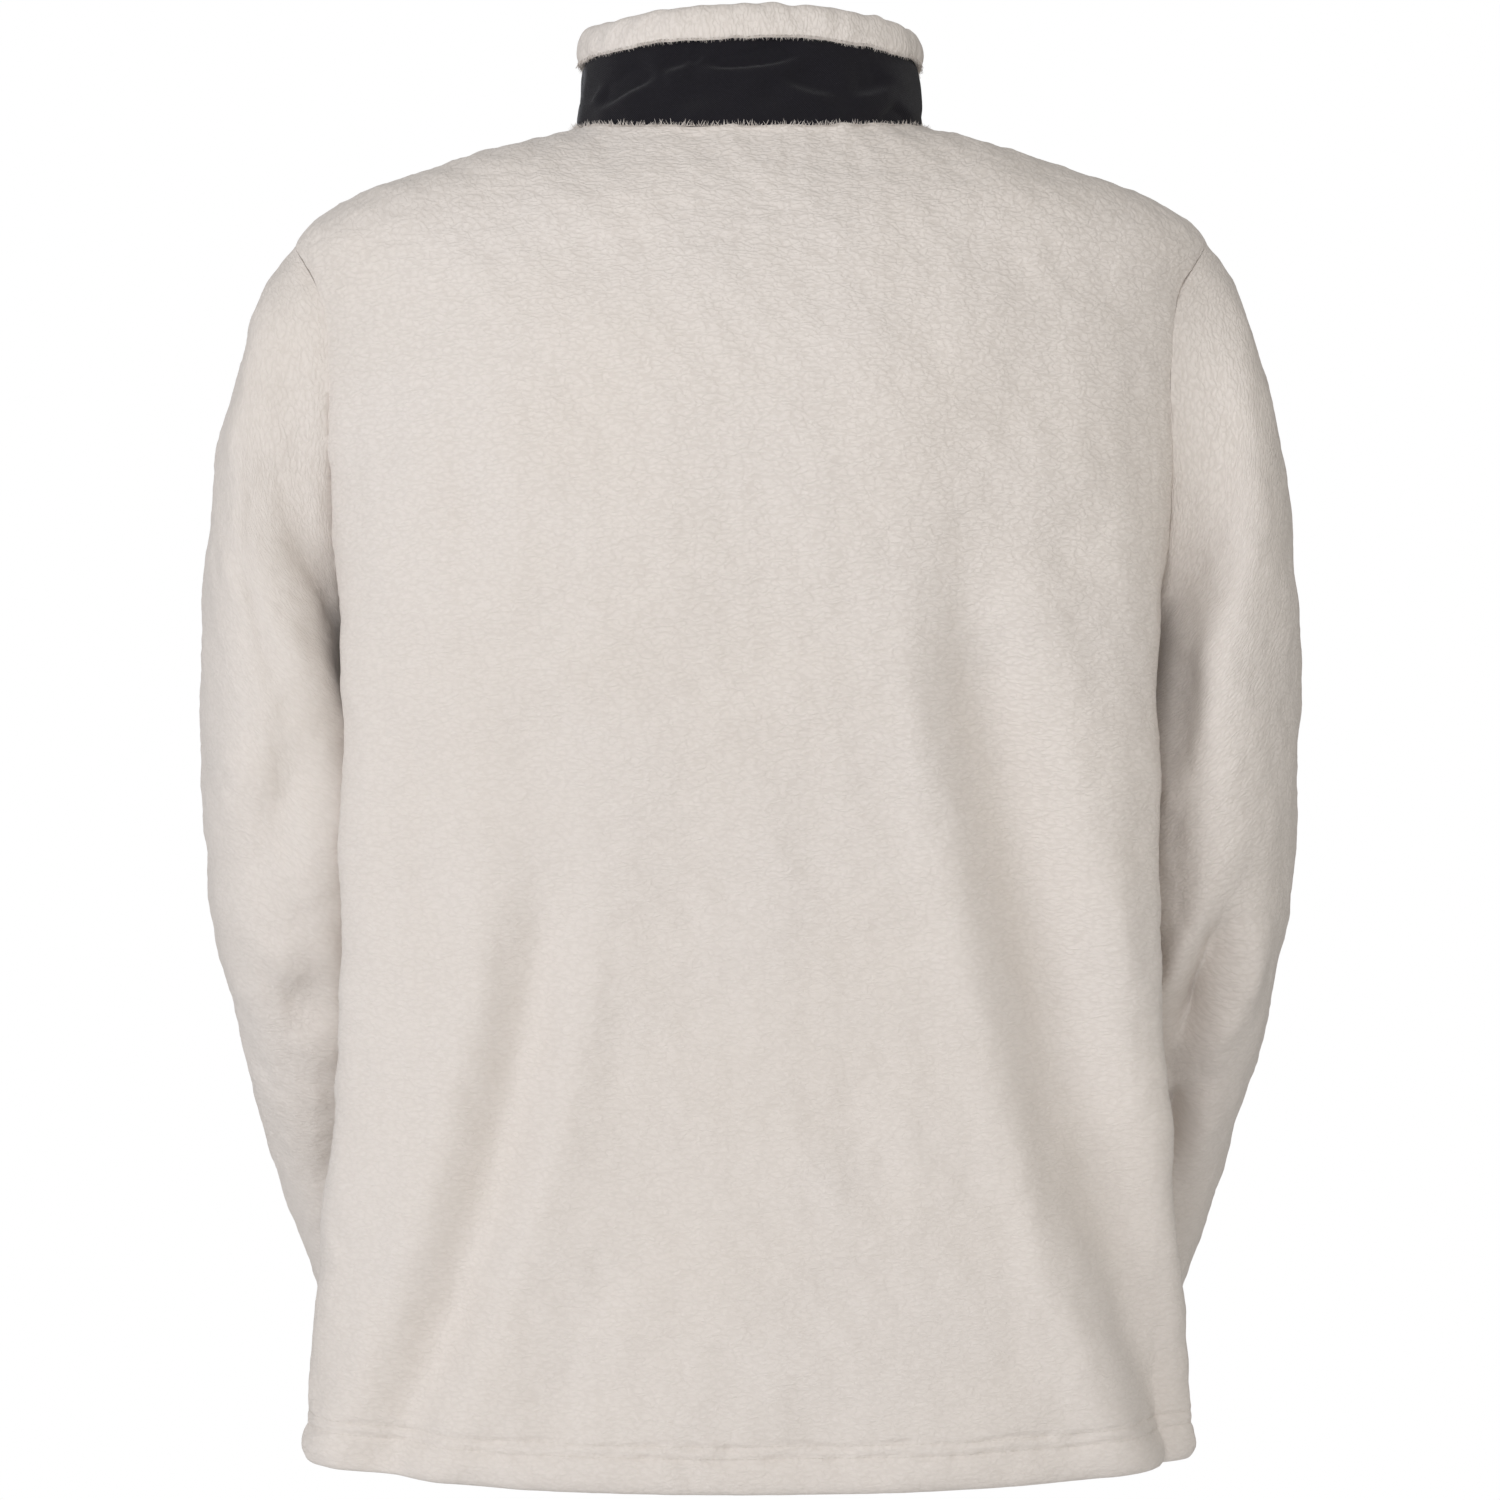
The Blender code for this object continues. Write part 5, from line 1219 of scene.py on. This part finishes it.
teeth = dict(
    pitch=0.0026, width=0.0034, height=0.0013, thick=0.0026, offset=0.0009,
    first=0.0105, last=0.0010,  # from the hem's edge and from the zip's top
    tapeDrop=0.0008, tapeThick=0.0005, tapeHalf=0.0040,
    behindCloth=0.0008, belowCollarTop=0.006,
)


def zipLine():
    # The middle of the zip up the front: its points and the outward direction
    rows = []
    for level in np.array(levels)[::3]:
        point = torsoPoint(np.array(float(level)), np.array(angleAtSide(float(level), 1e-5)))[0]
        depth = torso["wall"] + teeth["behindCloth"]
        if level < levels[len(hem["rows"]) - 3]:
            depth = torso["hemWall"] + teeth["behindCloth"]
        rows.append((point, depth))
    top = collar["front"] - teeth["belowCollarTop"]
    neckLevel = float(torso["neck"])
    base = torsoPoint(np.array(neckLevel), np.array(angleAtSide(neckLevel, 1e-5)))[0]
    for share in np.linspace(0, 1, 24)[1:]:
        point = base + collarUp * top * share + np.array([0, collar["taper"] * top * share / collar["front"], 0])
        rows.append((point, collar["panelWall"] + collar["seamGap"] + collar["fleeceWall"] + 0.0010))
    points = np.array([row[0] for row in rows]) * [0, 1, 1]
    along = np.gradient(points, axis=0)
    inward = unit(np.stack([0 * along[:, 0], along[:, 2], -along[:, 1]], axis=-1))
    depth = np.array([row[1] for row in rows])
    kernel = np.ones(5) / 5
    depth = np.convolve(np.pad(depth, 2, mode="edge"), kernel, mode="valid")
    return points + inward * (depth + 0.00045)[:, None], -inward


def makeTeeth():
    middle, outward = zipLine()
    run = runAlong(middle, 0)
    bottom, top = teeth["first"], run[-1] - teeth["last"]
    paths, outwards = [], []
    for side, lag in ((1, 0.0), (-1, teeth["pitch"] / 2)):
        steps = np.linspace(bottom + lag, top - teeth["pitch"] / 2 + lag, 260)
        paths.append(pointsAt(steps, run, middle) + [side * teeth["offset"], 0, 0])
        outwards.append(pointsAt(steps, run, outward))
    return repeatAlong(
        "zipTeeth", paths, outwards, toothTree, teethFinish, Pitch=teeth["pitch"], Width=teeth["width"],
        Depth=teeth["thick"], Length=teeth["height"], **{"Seed": 2},
    )


def makeTapeEdges():
    # The tapes' inner edges, which carry the teeth, as one thin strip behind them
    middle, outward = zipLine()
    corners = ((-1, 0.0), (1, 0.0), (1, 1.0), (-1, 1.0))
    loop = np.array([
        middle - outward * (teeth["tapeDrop"] + teeth["tapeThick"] * depth) + [side * teeth["tapeHalf"], 0, 0]
        for side, depth in corners
    ])
    return meshPiece("tapeEdges", loop.reshape(-1, 3), sweptFaces(*loop.shape[:2]), tapeFinish)


stitching = makeStitches()
zipTeeth = makeTeeth()
tapeEdges = makeTapeEdges()
print("stitches and teeth made:", len(stitching.data.polygons), len(zipTeeth.data.polygons))

tufts = dict(pitch=0.00050, neckPitch=0.00085, length=0.0022, thick=0.00036, neckLength=0.0028, turn=0.7)


def makeTufts(name, path, outwards, length, pitch, seed):
    # Short loose ends of pile over the woven panel's edges
    return repeatAlong(
        name, path, outwards, tuftTree, fleeceFinish, Pitch=pitch, Width=tufts["thick"], Depth=length,
        Length=tufts["thick"], **{"Turn Spread": tufts["turn"], "Size Spread": 0.5, "Seed": seed},
    )


down = unit(np.broadcast_to(-collarUp, neck.shape) + collarNormal * 0.10)
upward = unit(np.broadcast_to(collarUp, neck.shape) + collarNormal * 0.25)
bandEdges = [bandEdge, bandEdge + collarNormal * 0.0009]
bandTufts = makeTufts("bandTufts", bandEdges, [down, down], tufts["length"], tufts["pitch"], 4)
foot = [collarPoint(rise, -collar["panelLift"] - out) for rise, out in ((-0.0006, 0.0), (-0.0010, 0.0007))]
neckTufts = makeTufts("neckTufts", foot, [upward, upward], tufts["neckLength"], tufts["neckPitch"], 9)
print("loose ends made:", len(bandTufts.data.polygons), len(neckTufts.data.polygons))

# What each piece moves with and stands for; the zip's parts from the frame get their finishes
for name, piece in pieces.items():
    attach(piece, "garment")
    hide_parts(name)
for piece, slotName in (
    (stitching, "fleece"), (bandTufts, "fleece"), (neckTufts, "fleece"), (zipTeeth, "zip_teeth"),
    (tapeEdges, "zip_tape"),
):
    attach(piece, "garment")
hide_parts("zip_chain")

for name, finishName in (
    ("zip_tape_left", tapeFinish), ("zip_tape_right", tapeFinish), ("zip_box", teethFinish),
    ("zip_slider", metalFinish), ("pull_tab", metalFinish),
):
    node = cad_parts[name]
    node.data.materials.clear()
    node.data.materials.append(finishName)

studio = dict(
    floorZ=-1.45,  # about where a wearer would stand
    cameraBack=3.0, cameraZ=-0.322, lens=36 * 3.0 / 0.78,
    lampTarget=(0, 0, -0.35),
    lamps=(  # name, place, size, power, colour
        ("keyLight", (0.3, 3.7, 0.6), 1.3, 42.0, (0.975, 1.0, 1.075)),
        ("sideLight", (3.0, 2.0, 0.2), 1.3, 33.0, (0.975, 1.0, 1.075)),
        ("warmLight", (-2.6, 2.4, 0.1), 2.4, 4.0, (1.0, 0.82, 0.55)),
        ("frontLight", (0.8, -3.4, 0.3), 1.6, 34.0, (0.975, 1.0, 1.075)),
    ),
    backdrop=1.0,
    roomDim=0.110, roomBright=0.720, roomFrom=(0.0, 1.0, 0.0),  # the room's own light, and where it is brightest
    roomColour=(1.0, 0.985, 0.955, 1),
)


def makeFloor():
    reach, z = 4.5, studio["floorZ"]
    points = [(-reach, -reach, z), (reach, -reach, z), (reach, reach, z), (-reach, reach, z)]
    paper = makeFinish(
        "palePaper", fineMottle, {"Grain": 40.0}, (0.90, 0.90, 0.90), (0.92, 0.92, 0.92), 0.9, (0.05, 0.0002),
    )
    return meshPiece("paperFloor", points, [(0, 1, 2, 3)], paper)


makeFloor()


def areaLight(name, place, size, power, colour):
    data = bpy.data.lights.new(name, "AREA")
    data.shape = "DISK"
    data.size = size
    data.energy = power
    data.color = colour
    lamp = addObject(name, data)
    lamp.location = place
    away = np.subtract(place, studio["lampTarget"])
    lamp.rotation_mode = "QUATERNION"
    lamp.rotation_quaternion = Vector(away).to_track_quat("Z", "Y")
    return lamp


for lamp in studio["lamps"]:
    areaLight(*lamp)


def makeRoom():
    # A white backdrop to the eye; its light is soft, and brighter from one side
    world = bpy.data.worlds.new("softRoom")
    world.use_nodes = True
    tree = world.node_tree
    n = addNodes(tree, (
        ("direction", "ShaderNodeTexCoord", {}),
        ("towards", "ShaderNodeVectorMath", {"operation": "DOT_PRODUCT", 1: studio["roomFrom"]}),
        ("light", "ShaderNodeMapRange", {
            "From Min": -1.0, "To Min": studio["roomDim"], "To Max": studio["roomBright"],
        }),
        ("ray", "ShaderNodeLightPath", {}),
        ("strength", "ShaderNodeMix", {"B": studio["backdrop"]}),
        ("colour", "ShaderNodeMix", {"data_type": "RGBA", "A": studio["roomColour"], "B": (1, 1, 1, 1)}),
    ))
    n["background"] = tree.nodes["Background"]
    join(tree, n, (
        "direction.Generated > towards.0", "towards.Value > light.Value", "light.0 > strength.A",
        "ray.Is Camera Ray > strength.Factor", "strength.Result > background.Strength",
        "ray.Is Camera Ray > colour.Factor", "colour.Result > background.Color",
    ))
    return world


bpy.context.scene.world = makeRoom()
bpy.context.scene.view_settings.view_transform = "Standard"
cameraData = bpy.data.cameras.new("camera")
cameraData.sensor_width = 36
cameraData.lens = studio["lens"]
camera = addObject("camera", cameraData)
camera.location = (0, studio["cameraBack"], studio["cameraZ"])
camera.rotation_euler = (math.radians(90), 0, math.radians(180))
bpy.context.scene.camera = camera
